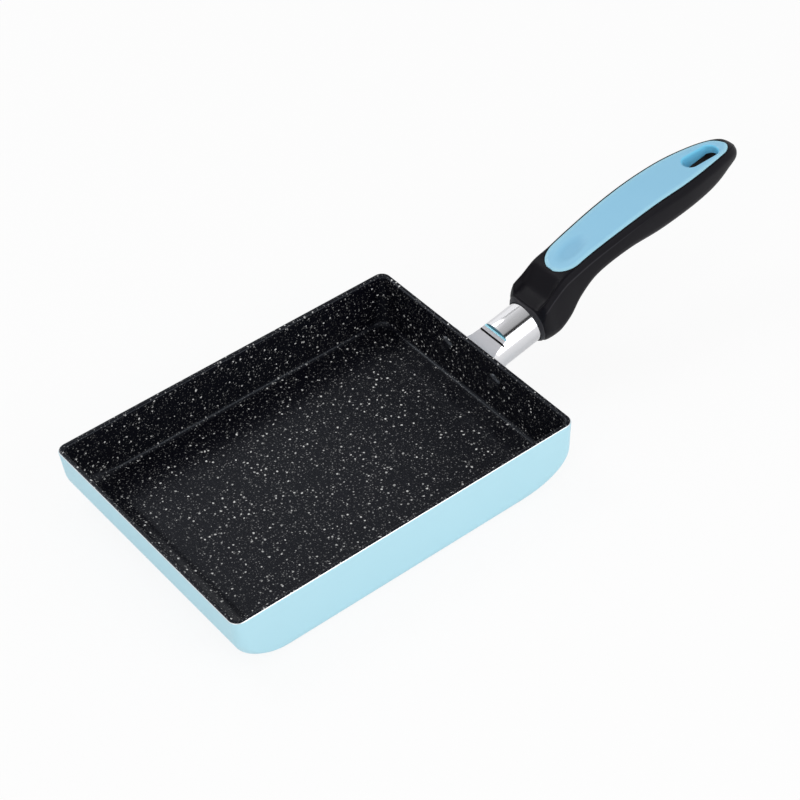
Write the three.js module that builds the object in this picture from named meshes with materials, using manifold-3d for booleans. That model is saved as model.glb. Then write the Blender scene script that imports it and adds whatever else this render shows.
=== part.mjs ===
// A rectangular omelette pan: coated aluminium tray, riveted stem, and a black grip with a blue inlay.
// Millimetres, +Z up. The origin is on the underside of the base, midway along the rim.
// +X points down the handle.
import * as THREE from 'three';
import { mergeVertices } from 'three/addons/utils/BufferGeometryUtils.js';
import Module from 'manifold-3d';

const wasm = await Module();
wasm.setup();

// Pan: overall sizes, measured outside at the rim
const PAN_LENGTH = 190;
const PAN_WIDTH = 141;
const PAN_HEIGHT = 32.5;
const WALL = 2.6;
const BASE_THICKNESS = 5;
const COATING = 0.4;

// Pan: how far each wall leans in from rim to base, and how much thicker it gets down to the floor
const FRONT_LEAN = 3;
const SIDE_LEAN = 0.4;
const HANDLE_LEAN = 1.6;
const FRONT_THICKENING = 0.5;
const SIDE_THICKENING = 1.4;
const HANDLE_THICKENING = 0.6;

// Pan: radii of the bends between the walls and the base
const FRONT_BEND = 19;
const SIDE_BEND = 4;
const HANDLE_BEND = 8;
const INNER_FRONT_BEND = 16;
const INNER_BEND = 2;

// Pan: corner radii in plan. The corners widen towards the base over the height of the sweep.
const RIM_CORNER = 5;
const FRONT_BASE_CORNER = 19;
const HANDLE_BASE_CORNER = 45;
const CORNER_SWEEP = 16.5;
const INNER_RIM_CORNER = 3;
const INNER_FRONT_CORNER = 12;
const INNER_HANDLE_CORNER = 7;

// Bracket: rivet flange, round stem with a grooved flat on top, and a thinner tang inside the grip
const STEM_DROP = 11;
const STEM_RISE = THREE.MathUtils.degToRad(12);
const STEM_DIAMETER = 21.5;
const STEM_FLARE = 2.2;
const STEM_FLARE_LENGTH = 9;
const STEM_SHOWING = 28.7;
const STEM_IN_GRIP = 2.5;
const TANG_STEP = 4.55;
const TANG_LENGTH = 12;
const FLAT_LENGTH = 11.7;
const FLAT_DEPTH = 3.2;
const FLAT_TILT = THREE.MathUtils.degToRad(9);
const GROOVE_GAP = 2.7;
const GROOVE_WIDTH = 1;
const GROOVE_DEPTH = 0.8;
const FLANGE_THICKNESS = 3;
const FLANGE_MARGIN = 2.8;

// Rivets: each head and tail laps over the shank's hole, and the tails stand clear of the stem's foot
const RIVET_SHANK = 5.2;
const RIVET_HEAD_LAP = 2.1;
const RIVET_HEAD_HEIGHT = 2;
const RIVET_TAIL_LAP = 1.6;
const RIVET_TAIL_HEIGHT = 2.2;
const RIVET_CLEARANCE = 0.4;

// Grip: its length, how far its head runs on past the tang, and how it stands off the stem's own outline.
// The rise is for its top, the tuck for its underside and the swell for its sides.
const GRIP_LENGTH = 139.3;
const TANG_COVER = 12.8;
const GRIP_RISE = 13.3;
const GRIP_TUCK = 17;
const GRIP_SWELL = 2.65;

// Grip: stations with shares of those sizes, first along the head and then along the rest.
// The last ones narrow to the tip by a share of the stem's radius. Smooth curves run between the stations.
const HEAD_STATIONS = [
  { at: 0, rise: 0.06, tuck: -0.038, swell: 0.283, narrow: 0 },
  { at: 0.073, rise: 0.177, tuck: -0.091, swell: 0.623, narrow: 0 },
  { at: 0.183, rise: 0.305, tuck: -0.115, swell: 0.736, narrow: 0 },
  { at: 0.403, rise: 0.508, tuck: -0.085, swell: 0.547, narrow: 0 },
  { at: 0.696, rise: 0.763, tuck: 0.138, swell: 0.472, narrow: 0 },
  { at: 1, rise: 0.838, tuck: 0.568, swell: 0.396, narrow: 0 },
];
const BODY_STATIONS = [
  { at: 0.107, rise: 0.936, tuck: 0.926, swell: 0.509, narrow: 0 },
  { at: 0.286, rise: 1, tuck: 0.997, swell: 0.811, narrow: 0 },
  { at: 0.464, rise: 0.974, tuck: 0.826, swell: 0.925, narrow: 0 },
  { at: 0.643, rise: 0.808, tuck: 0.744, swell: 0.849, narrow: 0 },
  { at: 0.786, rise: 0.62, tuck: 0.679, swell: 0.17, narrow: 0 },
  { at: 0.893, rise: 0.425, tuck: 0.732, swell: 0, narrow: 0.181 },
  { at: 0.964, rise: 0.214, tuck: 0.815, swell: 0, narrow: 0.442 },
  { at: 1, rise: -0.056, tuck: 0.885, swell: 0, narrow: 0.777 },
];
const SHOULDER_WIDTH = 1.6;
const SHOULDER_DROP = 3.5;
const SHOULDER_SHARE = 1 / 3;
const SHOULDER_RUN = 6.5;
const BELLY_RADIUS = 8;
const BELLY_RUN = 12;
const HOLLOW_ALONG = 10.5;
const HOLLOW_WIDTH = 16;
const HOLLOW_DEPTH = 2;

// Inlay: plate in the top of the grip, with a collar that lines the upper part of the hang slot
const INLAY_START = 19.6;
const INLAY_TIP_GAP = 4.5;
const INLAY_MARGIN = 2.4;
const INLAY_THICKNESS = 2.4;
const INLAY_PROUD = 0.3;
const INLAY_FRONT_ROUND = 11;
const INLAY_BACK_ROUND = 6;
const INLAY_BLUNT = 0.25;
const SLOT_FROM_TIP = 21.3;
const SLOT_LENGTH = 20.5;
const SLOT_WIDTH = 8;
const COLLAR_WALL = 1;
const COLLAR_DEPTH = 8;

// Screw and washer that hold the grip on the tang, from below
const SCREW_ALONG = 8.5;
const SCREW_SHANK = 5;
const SCREW_BITE = 3.5;
const SCREW_HEAD_LAP = 1.8;
const SCREW_HEAD_HEIGHT = 2.4;
const CROSS_WIDTH = 1.4;
const CROSS_MARGIN = 1.8;
const CROSS_FLOOR = 1;
const SCREW_SEAT_WALL = 1.4;
const WASHER_LAP = 0.5;
const WASHER_THICKNESS = 0.8;

// Clearance between pieces that fit together, and how far a cutter runs past what it cuts
const FIT = 0.3;
const OVERCUT = 1;

// Facets
const CORNER_STEPS = 6;
const BEND_STEPS = 7;
const ROUND_STEPS = 32;
const SLOT_STEPS = 12;
const DOME_STEPS = 3;
const GRIP_RINGS = 36;
const INLAY_RINGS = 24;

// Points nearer than the weld are one point, and a search along the grip stops at the last step
const WELD = 1e-4;
const SEARCH_STEP = 1e-6;

const X_AXIS = new THREE.Vector3(1, 0, 0);
const Y_AXIS = new THREE.Vector3(0, 1, 0);
const Z_AXIS = new THREE.Vector3(0, 0, 1);

// A closed mesh turned into a solid that can be joined and cut
function toSolid(geometry) {
  const bare = geometry.clone();
  bare.deleteAttribute('normal');
  bare.deleteAttribute('uv');
  const merged = mergeVertices(bare, WELD);
  const vertProperties = new Float32Array(merged.attributes.position.array);
  const triVerts = new Uint32Array(merged.index.array);
  return new wasm.Manifold(new wasm.Mesh({ numProp: 3, vertProperties, triVerts }));
}

// The solid's surface as a mesh geometry again
function toGeometry(solid) {
  const mesh = solid.getMesh();
  const geometry = new THREE.BufferGeometry();
  geometry.setAttribute('position', new THREE.BufferAttribute(new Float32Array(mesh.vertProperties), 3));
  geometry.setIndex(new THREE.BufferAttribute(new Uint32Array(mesh.triVerts), 1));
  geometry.computeVertexNormals();
  return geometry;
}

// A closed skin over rings that all have the same number of points, with both ends closed by a fan
function loft(rings) {
  const positions = [];
  const index = [];
  const count = rings[0].length;
  for (const ring of rings) {
    for (const point of ring) positions.push(point.x, point.y, point.z);
  }
  for (let level = 0; level < rings.length - 1; level++) {
    for (let i = 0; i < count; i++) {
      const a = level * count + i;
      const b = level * count + ((i + 1) % count);
      index.push(a, b, b + count, a, b + count, a + count);
    }
  }
  const closeEnd = (ring, first, turn) => {
    const middle = new THREE.Vector3();
    for (const point of ring) middle.addScaledVector(point, 1 / count);
    const centre = positions.length / 3;
    positions.push(middle.x, middle.y, middle.z);
    for (let i = 0; i < count; i++) {
      const a = first + i;
      const b = first + ((i + 1) % count);
      if (turn) index.push(centre, b, a);
      else index.push(centre, a, b);
    }
  };
  closeEnd(rings[0], 0, true);
  closeEnd(rings[rings.length - 1], (rings.length - 1) * count, false);
  const geometry = new THREE.BufferGeometry();
  geometry.setAttribute('position', new THREE.Float32BufferAttribute(positions, 3));
  geometry.setIndex(index);
  return geometry;
}

// A round solid about the X axis from a profile of [along, radius] pairs
function turned(profile) {
  const points = profile.map(([along, radius]) => new THREE.Vector2(radius, along));
  return new THREE.LatheGeometry(points, ROUND_STEPS).rotateZ(-Math.PI / 2);
}

// A round solid about a vertical line, from one height up to another
function upright(x, radius, from, to) {
  const geometry = new THREE.CylinderGeometry(radius, radius, to - from, ROUND_STEPS);
  return geometry.rotateX(Math.PI / 2).translate(x, 0, (from + to) / 2);
}

const PLAIN_EXTRUSION = { bevelEnabled: false, curveSegments: SLOT_STEPS };

// A plan outline in X and Y, extruded upwards between two heights
function raised(shape, from, to) {
  const geometry = new THREE.ExtrudeGeometry(shape, { ...PLAIN_EXTRUSION, depth: to - from });
  return geometry.translate(0, 0, from);
}

// An outline in Y and Z, extruded along X between two places
function pushedOut(shape, from, to) {
  const geometry = new THREE.ExtrudeGeometry(shape, { ...PLAIN_EXTRUSION, depth: to - from });
  geometry.applyMatrix4(new THREE.Matrix4().makeBasis(Y_AXIS, Z_AXIS, X_AXIS));
  return geometry.translate(from, 0, 0);
}

// An outline in X and Z, extruded across the middle plane
function across(shape, width) {
  const geometry = new THREE.ExtrudeGeometry(shape, { ...PLAIN_EXTRUSION, depth: width });
  return geometry.rotateX(Math.PI / 2).translate(0, width / 2, 0);
}

// A slot-shaped outline, centred on a place along its length
function stadium(centre, length, width) {
  const reach = (length - width) / 2;
  const radius = width / 2;
  const shape = new THREE.Shape();
  shape.absarc(centre + reach, 0, radius, -Math.PI / 2, Math.PI / 2, false);
  shape.absarc(centre - reach, 0, radius, Math.PI / 2, (3 * Math.PI) / 2, false);
  return shape;
}

// How far a quarter-round bend at the foot of a wall has turned in, at a depth below the rim
function bendInset(depth, fullDepth, radius) {
  const past = depth - (fullDepth - radius);
  if (past <= 0) return 0;
  return radius - Math.sqrt(Math.max(radius * radius - past * past, 0));
}

// A rounded rectangle in plan with its own front and handle-end corners, counter-clockwise from above
function panRing({ front, handle, side, frontCorner, handleCorner }, z) {
  const ring = [];
  const corners = [
    { x: handle, y: side, sx: 1, sy: 1, radius: handleCorner, turn: 0 },
    { x: front, y: side, sx: -1, sy: 1, radius: frontCorner, turn: 1 },
    { x: front, y: -side, sx: -1, sy: -1, radius: frontCorner, turn: 2 },
    { x: handle, y: -side, sx: 1, sy: -1, radius: handleCorner, turn: 3 },
  ];
  for (const { x, y, sx, sy, radius, turn } of corners) {
    for (let i = 0; i <= CORNER_STEPS; i++) {
      const angle = (turn + i / CORNER_STEPS) * (Math.PI / 2);
      const px = x - sx * radius + radius * Math.cos(angle);
      const py = y - sy * radius + radius * Math.sin(angle);
      ring.push(new THREE.Vector3(px, py, z));
    }
  }
  return ring;
}

// The outside of the pan at a depth below the rim
function outsideAt(depth) {
  const share = depth / PAN_HEIGHT;
  const widen = bendInset(depth, PAN_HEIGHT, CORNER_SWEEP) / CORNER_SWEEP;
  return panRing({
    front: -PAN_LENGTH / 2 + FRONT_LEAN * share + bendInset(depth, PAN_HEIGHT, FRONT_BEND),
    handle: PAN_LENGTH / 2 - HANDLE_LEAN * share - bendInset(depth, PAN_HEIGHT, HANDLE_BEND),
    side: PAN_WIDTH / 2 - SIDE_LEAN * share - bendInset(depth, PAN_HEIGHT, SIDE_BEND),
    frontCorner: RIM_CORNER + (FRONT_BASE_CORNER - RIM_CORNER) * widen,
    handleCorner: RIM_CORNER + (HANDLE_BASE_CORNER - RIM_CORNER) * widen,
  }, PAN_HEIGHT - depth);
}

// The inside of the pan at a depth below the rim, set back into the metal by a layer's thickness
const FLOOR_DEPTH = PAN_HEIGHT - BASE_THICKNESS;
function insideAt(depth, layer) {
  const outer = depth / PAN_HEIGHT;
  const share = depth / FLOOR_DEPTH;
  const inset = (lean, thickening, bend) => {
    return WALL + lean * outer + thickening * share + bendInset(depth, FLOOR_DEPTH, bend) - layer;
  };
  return panRing({
    front: -PAN_LENGTH / 2 + inset(FRONT_LEAN, FRONT_THICKENING, INNER_FRONT_BEND),
    handle: PAN_LENGTH / 2 - inset(HANDLE_LEAN, HANDLE_THICKENING, INNER_BEND),
    side: PAN_WIDTH / 2 - inset(SIDE_LEAN, SIDE_THICKENING, INNER_BEND),
    frontCorner: INNER_RIM_CORNER + (INNER_FRONT_CORNER - INNER_RIM_CORNER) * share,
    handleCorner: INNER_RIM_CORNER + (INNER_HANDLE_CORNER - INNER_RIM_CORNER) * share,
  }, PAN_HEIGHT - depth - layer);
}

// Depths below the rim for the rings: one straight stretch, then steps of even angle round the largest bend
function ringDepths(fullDepth, largestBend) {
  const depths = [0];
  for (let i = 0; i <= BEND_STEPS; i++) {
    const angle = (i / BEND_STEPS) * (Math.PI / 2);
    depths.push(fullDepth - largestBend + largestBend * Math.sin(angle));
  }
  return depths;
}

const outsideDepths = ringDepths(PAN_HEIGHT, FRONT_BEND);
const insideDepths = ringDepths(FLOOR_DEPTH, INNER_FRONT_BEND);

// The rim's top edge below the coating
function rimUnderCoating() {
  const ring = outsideAt(0);
  for (const point of ring) point.z -= COATING;
  return ring;
}

// The tray: up the outside from the base, over the rim, and down the inside to the floor
function panBody() {
  const outside = outsideDepths.slice(1).reverse().map((depth) => outsideAt(depth));
  const inside = insideDepths.map((depth) => insideAt(depth, COATING));
  return loft([...outside, rimUnderCoating(), ...inside]);
}

// The coating: its hidden face lies on the tray's inside and rim, its showing face is a layer further in
function coatingLayer() {
  const hidden = insideDepths.map((depth) => insideAt(depth, COATING)).reverse();
  const showing = insideDepths.map((depth) => insideAt(depth, 0));
  return loft([...hidden, rimUnderCoating(), outsideAt(0), ...showing]);
}

// The wall frame lies on the handle wall at the stem's height.
// The handle frame has the stem's axis as its X.
const wallLean = Math.atan(HANDLE_LEAN / PAN_HEIGHT);
const wallFrame = new THREE.Group();
wallFrame.position.set(PAN_LENGTH / 2 - (HANDLE_LEAN * STEM_DROP) / PAN_HEIGHT, 0, PAN_HEIGHT - STEM_DROP);
wallFrame.rotation.y = wallLean;
const handleFrame = new THREE.Group();
handleFrame.position.copy(wallFrame.position);
handleFrame.rotation.y = -STEM_RISE;
const handleInWall = new THREE.Matrix4().makeRotationY(-STEM_RISE - wallLean);

// Places along the stem's axis
const STEM_RADIUS = STEM_DIAMETER / 2;
const TANG_RADIUS = STEM_RADIUS - TANG_STEP;
const flangeFace = FIT + FLANGE_THICKNESS;
const gripFront = flangeFace + STEM_SHOWING;
const shoulder = gripFront + STEM_IN_GRIP;
const tangEnd = shoulder + TANG_LENGTH;
const screwAlong = gripFront + SCREW_ALONG;
const headEnd = tangEnd + TANG_COVER;
const gripEnd = gripFront + GRIP_LENGTH;

// Rivets: the wall they go through, their ends, and how far apart they stand
const wallAtRivets = WALL + (HANDLE_THICKENING * STEM_DROP) / FLOOR_DEPTH;
const rivetHead = RIVET_SHANK + 2 * RIVET_HEAD_LAP;
const rivetTail = RIVET_SHANK + 2 * RIVET_TAIL_LAP;
const rivetSpacing = STEM_DIAMETER + 2 * STEM_FLARE + rivetTail + 2 * RIVET_CLEARANCE;
const flangeHeight = rivetTail + 2 * FLANGE_MARGIN;
const flangeLength = rivetSpacing + flangeHeight;

// Both rivet holes as cutters in the wall frame
function rivetHoles() {
  const holes = [];
  for (const side of [1, -1]) {
    const radius = RIVET_SHANK / 2 + FIT;
    const reach = wallAtRivets + flangeFace + OVERCUT;
    const profile = [[-reach, 0], [-reach, radius], [reach, radius], [reach, 0]];
    holes.push(turned(profile).translate(0, (side * rivetSpacing) / 2, 0));
  }
  return holes;
}

// A pan piece with the rivet holes cut through it
function withRivetHoles(geometry) {
  wallFrame.updateMatrix();
  let solid = toSolid(geometry);
  for (const hole of rivetHoles()) solid = solid.subtract(toSolid(hole.applyMatrix4(wallFrame.matrix)));
  return toGeometry(solid);
}

// Flange: a long plate with a round boss that the stem grows out of, on the outside of the wall
function flange() {
  const plate = pushedOut(stadium(0, flangeLength, flangeHeight), FIT, flangeFace);
  const boss = turned([
    [FIT, 0],
    [FIT, STEM_RADIUS + STEM_FLARE],
    [flangeFace, STEM_RADIUS + STEM_FLARE],
    [flangeFace, 0],
  ]);
  return toSolid(plate).add(toSolid(boss));
}

// Stem: flared foot, round bar, shoulder and tang, turned about the axis
function stem() {
  const footRadius = STEM_RADIUS + STEM_FLARE;
  const foot = flangeFace - FLANGE_THICKNESS - footRadius * Math.tan(STEM_RISE + wallLean);
  const flare = new THREE.QuadraticBezierCurve(
    new THREE.Vector2(flangeFace, footRadius),
    new THREE.Vector2(flangeFace, STEM_RADIUS),
    new THREE.Vector2(flangeFace + STEM_FLARE_LENGTH, STEM_RADIUS),
  );
  const flarePoints = flare.getPoints(BEND_STEPS).map((point) => [point.x, point.y]);
  return turned([
    [foot, 0],
    [foot, footRadius],
    ...flarePoints,
    [shoulder, STEM_RADIUS],
    [shoulder, TANG_RADIUS],
    [tangEnd, TANG_RADIUS],
    [tangEnd, 0],
  ]);
}

// The space above the flat: a wedge over the stem that also levels the top of the flange, and the flat's groove
function flatCutter() {
  const step = flangeFace + FLAT_LENGTH;
  const flatAt = (along) => STEM_RADIUS - FLAT_DEPTH - (step - along) * Math.tan(FLAT_TILT);
  const grooveEnd = step - GROOVE_GAP;
  const grooveStart = grooveEnd - GROOVE_WIDTH;
  const flangeTop = flangeHeight / 2;
  const above = STEM_DIAMETER + flangeHeight;
  const behind = -flangeHeight;
  const shape = new THREE.Shape();
  shape.moveTo(step, flatAt(step));
  shape.lineTo(step, above);
  shape.lineTo(behind, above);
  shape.lineTo(behind, flangeTop);
  shape.lineTo(flangeFace, flangeTop);
  shape.lineTo(flangeFace, flatAt(flangeFace));
  shape.lineTo(grooveStart, flatAt(grooveStart));
  shape.lineTo(grooveStart, flatAt(grooveStart) - GROOVE_DEPTH);
  shape.lineTo(grooveEnd, flatAt(grooveEnd) - GROOVE_DEPTH);
  shape.lineTo(grooveEnd, flatAt(grooveEnd));
  return across(shape, flangeLength);
}

// Everything behind the flange's seat, in the wall frame, where the slanted stem would reach into the wall
function behindFlange() {
  const size = 2 * STEM_DIAMETER;
  return new THREE.BoxGeometry(size, size, size).translate(FIT - size / 2, 0, 0);
}

// The threaded hole for the grip's screw, up through the tang from below
function screwHole() {
  const radius = SCREW_SHANK / 2 + FIT / 2;
  return upright(screwAlong, radius, -TANG_RADIUS - OVERCUT, SCREW_BITE + FIT);
}

// Bracket: flange and stem in one casting, with the flat, the screw hole and the rivet holes cut
function handleBracket() {
  const bar = toSolid(stem()).subtract(toSolid(screwHole()));
  const turnedBar = toSolid(toGeometry(bar).applyMatrix4(handleInWall));
  const cutter = toSolid(flatCutter().applyMatrix4(handleInWall));
  let solid = flange().add(turnedBar).subtract(cutter).subtract(toSolid(behindFlange()));
  for (const hole of rivetHoles()) solid = solid.subtract(toSolid(hole));
  return toGeometry(solid);
}

// Rivet: low domed head inside the pan, shank through wall and flange, and a set tail outside
function rivet() {
  const headSeat = -wallAtRivets - FIT;
  const tailSeat = flangeFace + FIT;
  const dome = new THREE.QuadraticBezierCurve(
    new THREE.Vector2(headSeat - RIVET_HEAD_HEIGHT, 0),
    new THREE.Vector2(headSeat - RIVET_HEAD_HEIGHT, rivetHead / 2),
    new THREE.Vector2(headSeat, rivetHead / 2),
  );
  const tail = new THREE.QuadraticBezierCurve(
    new THREE.Vector2(tailSeat, rivetTail / 2),
    new THREE.Vector2(tailSeat + RIVET_TAIL_HEIGHT, rivetTail / 2),
    new THREE.Vector2(tailSeat + RIVET_TAIL_HEIGHT, 0),
  );
  return turned([
    ...dome.getPoints(DOME_STEPS).map((point) => [point.x, point.y]),
    [headSeat, RIVET_SHANK / 2],
    [tailSeat, RIVET_SHANK / 2],
    ...tail.getPoints(DOME_STEPS).map((point) => [point.x, point.y]),
  ]);
}

// Smooth curves through the grip's stations
const stations = [
  ...HEAD_STATIONS.map((station) => ({ ...station, along: gripFront + station.at * (headEnd - gripFront) })),
  ...BODY_STATIONS.map((station) => ({ ...station, along: headEnd + station.at * (gripEnd - headEnd) })),
];
const lengthwise = stations.map(({ along, rise, tuck }) => {
  return new THREE.Vector3(along, STEM_RADIUS + rise * GRIP_RISE, tuck * GRIP_TUCK - STEM_RADIUS);
});
const sidewise = stations.map(({ along, swell, narrow }) => {
  return new THREE.Vector3(along, STEM_RADIUS * (1 - narrow) + swell * GRIP_SWELL, 0);
});
const gripProfile = new THREE.CatmullRomCurve3(lengthwise, false, 'catmullrom');
const gripBreadth = new THREE.CatmullRomCurve3(sidewise, false, 'catmullrom');
const gripHighest = Math.max(...lengthwise.map((point) => point.y));

// The grip's measures at a share of its stations, from 0 at the front to 1 at the tip
function gripAt(share) {
  const { x: along, y: top, z: bottom } = gripProfile.getPoint(share);
  return { along, top, bottom, half: gripBreadth.getPoint(share).y };
}

// The share of the stations that lies at a place along the axis, by halving
function gripShare(along) {
  let low = 0;
  let high = 1;
  while (high - low > SEARCH_STEP) {
    const middle = (low + high) / 2;
    if (gripProfile.getPoint(middle).x < along) low = middle;
    else high = middle;
  }
  return (low + high) / 2;
}

// One section of the grip: level top, sloping shoulders, upright sides and a round belly.
// At the front face the shoulders are those of an eight-sided ring, and they sharpen over a short run.
function gripSection({ along, top, bottom, half }) {
  const sharpness = Math.min(1, (along - gripFront) / SHOULDER_RUN);
  const ringShoulder = (2 - Math.SQRT2) * half;
  const drop = THREE.MathUtils.lerp(ringShoulder, SHOULDER_DROP, sharpness);
  const width = THREE.MathUtils.lerp(ringShoulder, SHOULDER_WIDTH, sharpness);
  const shoulderDrop = Math.min(drop, (top - bottom) * SHOULDER_SHARE);
  const shoulderWidth = Math.min(width, half * 2 * SHOULDER_SHARE);
  const squareness = Math.min(1, (along - gripFront) / BELLY_RUN);
  const bellyWanted = THREE.MathUtils.lerp(half, BELLY_RADIUS, squareness);
  const belly = Math.min(bellyWanted, half, top - shoulderDrop - bottom);
  const ring = [];
  const corner = (side, from, to) => {
    for (let i = 0; i <= CORNER_STEPS; i++) {
      const angle = THREE.MathUtils.lerp(from, to, i / CORNER_STEPS);
      const y = side * (half - belly) + belly * Math.cos(angle);
      ring.push(new THREE.Vector3(along, y, bottom + belly + belly * Math.sin(angle)));
    }
  };
  ring.push(new THREE.Vector3(along, half, top - shoulderDrop));
  ring.push(new THREE.Vector3(along, half - shoulderWidth, top));
  ring.push(new THREE.Vector3(along, shoulderWidth - half, top));
  ring.push(new THREE.Vector3(along, -half, top - shoulderDrop));
  corner(-1, Math.PI, (3 * Math.PI) / 2);
  corner(1, (3 * Math.PI) / 2, 2 * Math.PI);
  return ring;
}

// The ball that presses the thumb hollow into the grip's top, in front of the inlay
function thumbHollow() {
  const reach = HOLLOW_WIDTH / 2;
  const radius = (reach * reach + HOLLOW_DEPTH * HOLLOW_DEPTH) / (2 * HOLLOW_DEPTH);
  const along = gripFront + HOLLOW_ALONG;
  const before = gripAt(gripShare(along - reach)).top;
  const after = gripAt(gripShare(along + reach)).top;
  const slope = Math.atan2(after - before, HOLLOW_WIDTH);
  const lift = radius - HOLLOW_DEPTH;
  const x = along - lift * Math.sin(slope);
  const z = (before + after) / 2 + lift * Math.cos(slope);
  return new THREE.SphereGeometry(radius, 2 * ROUND_STEPS, ROUND_STEPS).translate(x, 0, z);
}

// The inlay's plate, widened all round by a clearance, from under the grip's top to over it
function inlayPlate(clearance, under, over) {
  const start = gripFront + INLAY_START - clearance;
  const end = gripEnd - INLAY_TIP_GAP + clearance;
  const rings = [];
  for (let i = 0; i <= INLAY_RINGS; i++) {
    const eased = (1 - Math.cos((i / INLAY_RINGS) * Math.PI)) / 2;
    const along = THREE.MathUtils.lerp(start + INLAY_BLUNT, end - INLAY_BLUNT, eased);
    const { top, half } = gripAt(gripShare(along));
    const fromFront = Math.min(1, (along - start) / INLAY_FRONT_ROUND);
    const fromBack = Math.min(1, (end - along) / INLAY_BACK_ROUND);
    const rounding = Math.sqrt(1 - (1 - fromFront) ** 2) * Math.sqrt(1 - (1 - fromBack) ** 2);
    const reach = (half - INLAY_MARGIN + clearance) * rounding;
    rings.push([
      new THREE.Vector3(along, reach, top - under),
      new THREE.Vector3(along, reach, top + over),
      new THREE.Vector3(along, -reach, top + over),
      new THREE.Vector3(along, -reach, top - under),
    ]);
  }
  return loft(rings);
}

// Places of the hang slot: it is cut square to the stem's axis, from under the grip to over it
const slotCentre = gripEnd - SLOT_FROM_TIP;
const slotTop = gripAt(gripShare(slotCentre)).top;
const collarFoot = slotTop - COLLAR_DEPTH;

// Slot-shaped block that runs from one height to another
function slotBlock(grow, from, to) {
  return raised(stadium(slotCentre, SLOT_LENGTH + 2 * grow, SLOT_WIDTH + 2 * grow), from, to);
}

// Inlay: the plate, the collar hanging from it round the slot, and the slot through both
function gripInlay() {
  const plate = toSolid(inlayPlate(0, INLAY_THICKNESS, INLAY_PROUD));
  const collar = toSolid(slotBlock(COLLAR_WALL, collarFoot, slotTop - INLAY_THICKNESS / 2));
  const slot = toSolid(slotBlock(0, collarFoot - OVERCUT, gripHighest + INLAY_PROUD + OVERCUT));
  return toGeometry(plate.add(collar).subtract(slot));
}

// Diameters of the screw's head and washer, and the heights of their seats under the tang
const screwHead = SCREW_SHANK + 2 * SCREW_HEAD_LAP;
const washerDiameter = screwHead + 2 * WASHER_LAP;
const seatHeight = -TANG_RADIUS - FIT - SCREW_SEAT_WALL;
const washerTop = seatHeight - FIT;
const washerFoot = washerTop - WASHER_THICKNESS;

// Grip: the lofted body, less the stem's socket, the screw's recess, the inlay's bed and the hang slot
function grip() {
  const rings = [];
  for (let i = 0; i <= GRIP_RINGS; i++) rings.push(gripSection(gripAt(i / GRIP_RINGS)));
  const socket = turned([
    [gripFront - OVERCUT, 0],
    [gripFront - OVERCUT, STEM_RADIUS + FIT],
    [shoulder + FIT, STEM_RADIUS + FIT],
    [shoulder + FIT, TANG_RADIUS + FIT],
    [tangEnd + FIT, TANG_RADIUS + FIT],
    [tangEnd + FIT, 0],
  ]);
  const below = -STEM_DIAMETER;
  const cuts = [
    socket,
    upright(screwAlong, SCREW_SHANK / 2 + FIT, seatHeight - OVERCUT, 0),
    upright(screwAlong, washerDiameter / 2 + FIT, below, seatHeight),
    thumbHollow(),
    inlayPlate(FIT, INLAY_THICKNESS + FIT, INLAY_PROUD + OVERCUT),
    slotBlock(COLLAR_WALL + FIT, collarFoot - FIT, slotTop),
    slotBlock(0, below, slotTop),
  ];
  let solid = toSolid(loft(rings));
  for (const cut of cuts) solid = solid.subtract(toSolid(cut));
  return toGeometry(solid);
}

// Screw: shank up into the tang, pan head below the washer, and a cross recess in the head
function gripScrew() {
  const headTop = washerFoot - FIT;
  const headFoot = headTop - SCREW_HEAD_HEIGHT;
  let solid = toSolid(upright(screwAlong, SCREW_SHANK / 2, headFoot + SCREW_HEAD_HEIGHT / 2, SCREW_BITE));
  solid = solid.add(toSolid(upright(screwAlong, screwHead / 2, headFoot, headTop)));
  const crossDepth = SCREW_HEAD_HEIGHT - CROSS_FLOOR;
  const crossLength = screwHead - 2 * CROSS_MARGIN;
  for (const turn of [0, Math.PI / 2]) {
    const bar = new THREE.BoxGeometry(crossLength, CROSS_WIDTH, 2 * crossDepth);
    solid = solid.subtract(toSolid(bar.rotateZ(turn).translate(screwAlong, 0, headFoot)));
  }
  return toGeometry(solid);
}

// Washer: a flat ring round the shank
function screwWasher() {
  const ring = toSolid(upright(screwAlong, washerDiameter / 2, washerFoot, washerTop));
  const hole = upright(screwAlong, SCREW_SHANK / 2 + FIT, washerFoot - OVERCUT, washerTop + OVERCUT);
  return toGeometry(ring.subtract(toSolid(hole)));
}

// A named piece with its own finish
function piece(name, geometry, color, roughness, metalness) {
  const mesh = new THREE.Mesh(geometry, new THREE.MeshStandardMaterial({ color, roughness, metalness }));
  mesh.name = name;
  return mesh;
}

// The pan, its bracket and rivets on the wall, and the grip on the stem
const pan = new THREE.Group();
pan.add(piece('pan_body', withRivetHoles(panBody()), 0xb6dbea, 0.3, 0));
pan.add(piece('nonstick_coating', withRivetHoles(coatingLayer()), 0x17171a, 0.55, 0));

wallFrame.add(piece('handle_bracket', handleBracket(), 0xd9d9de, 0.15, 1));
for (const [name, side] of [['rivet_left', 1], ['rivet_right', -1]]) {
  const mesh = piece(name, rivet(), 0x1a1a1d, 0.5, 0.2);
  mesh.position.y = (side * rivetSpacing) / 2;
  wallFrame.add(mesh);
}

handleFrame.add(piece('grip', grip(), 0x1d1c1f, 0.6, 0));
handleFrame.add(piece('grip_inlay', gripInlay(), 0x92c8e4, 0.5, 0));
handleFrame.add(piece('grip_screw', gripScrew(), 0xb9bbbf, 0.3, 1));
handleFrame.add(piece('screw_washer', screwWasher(), 0xb9bbbf, 0.35, 1));

pan.add(wallFrame, handleFrame);

export default pan;
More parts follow.
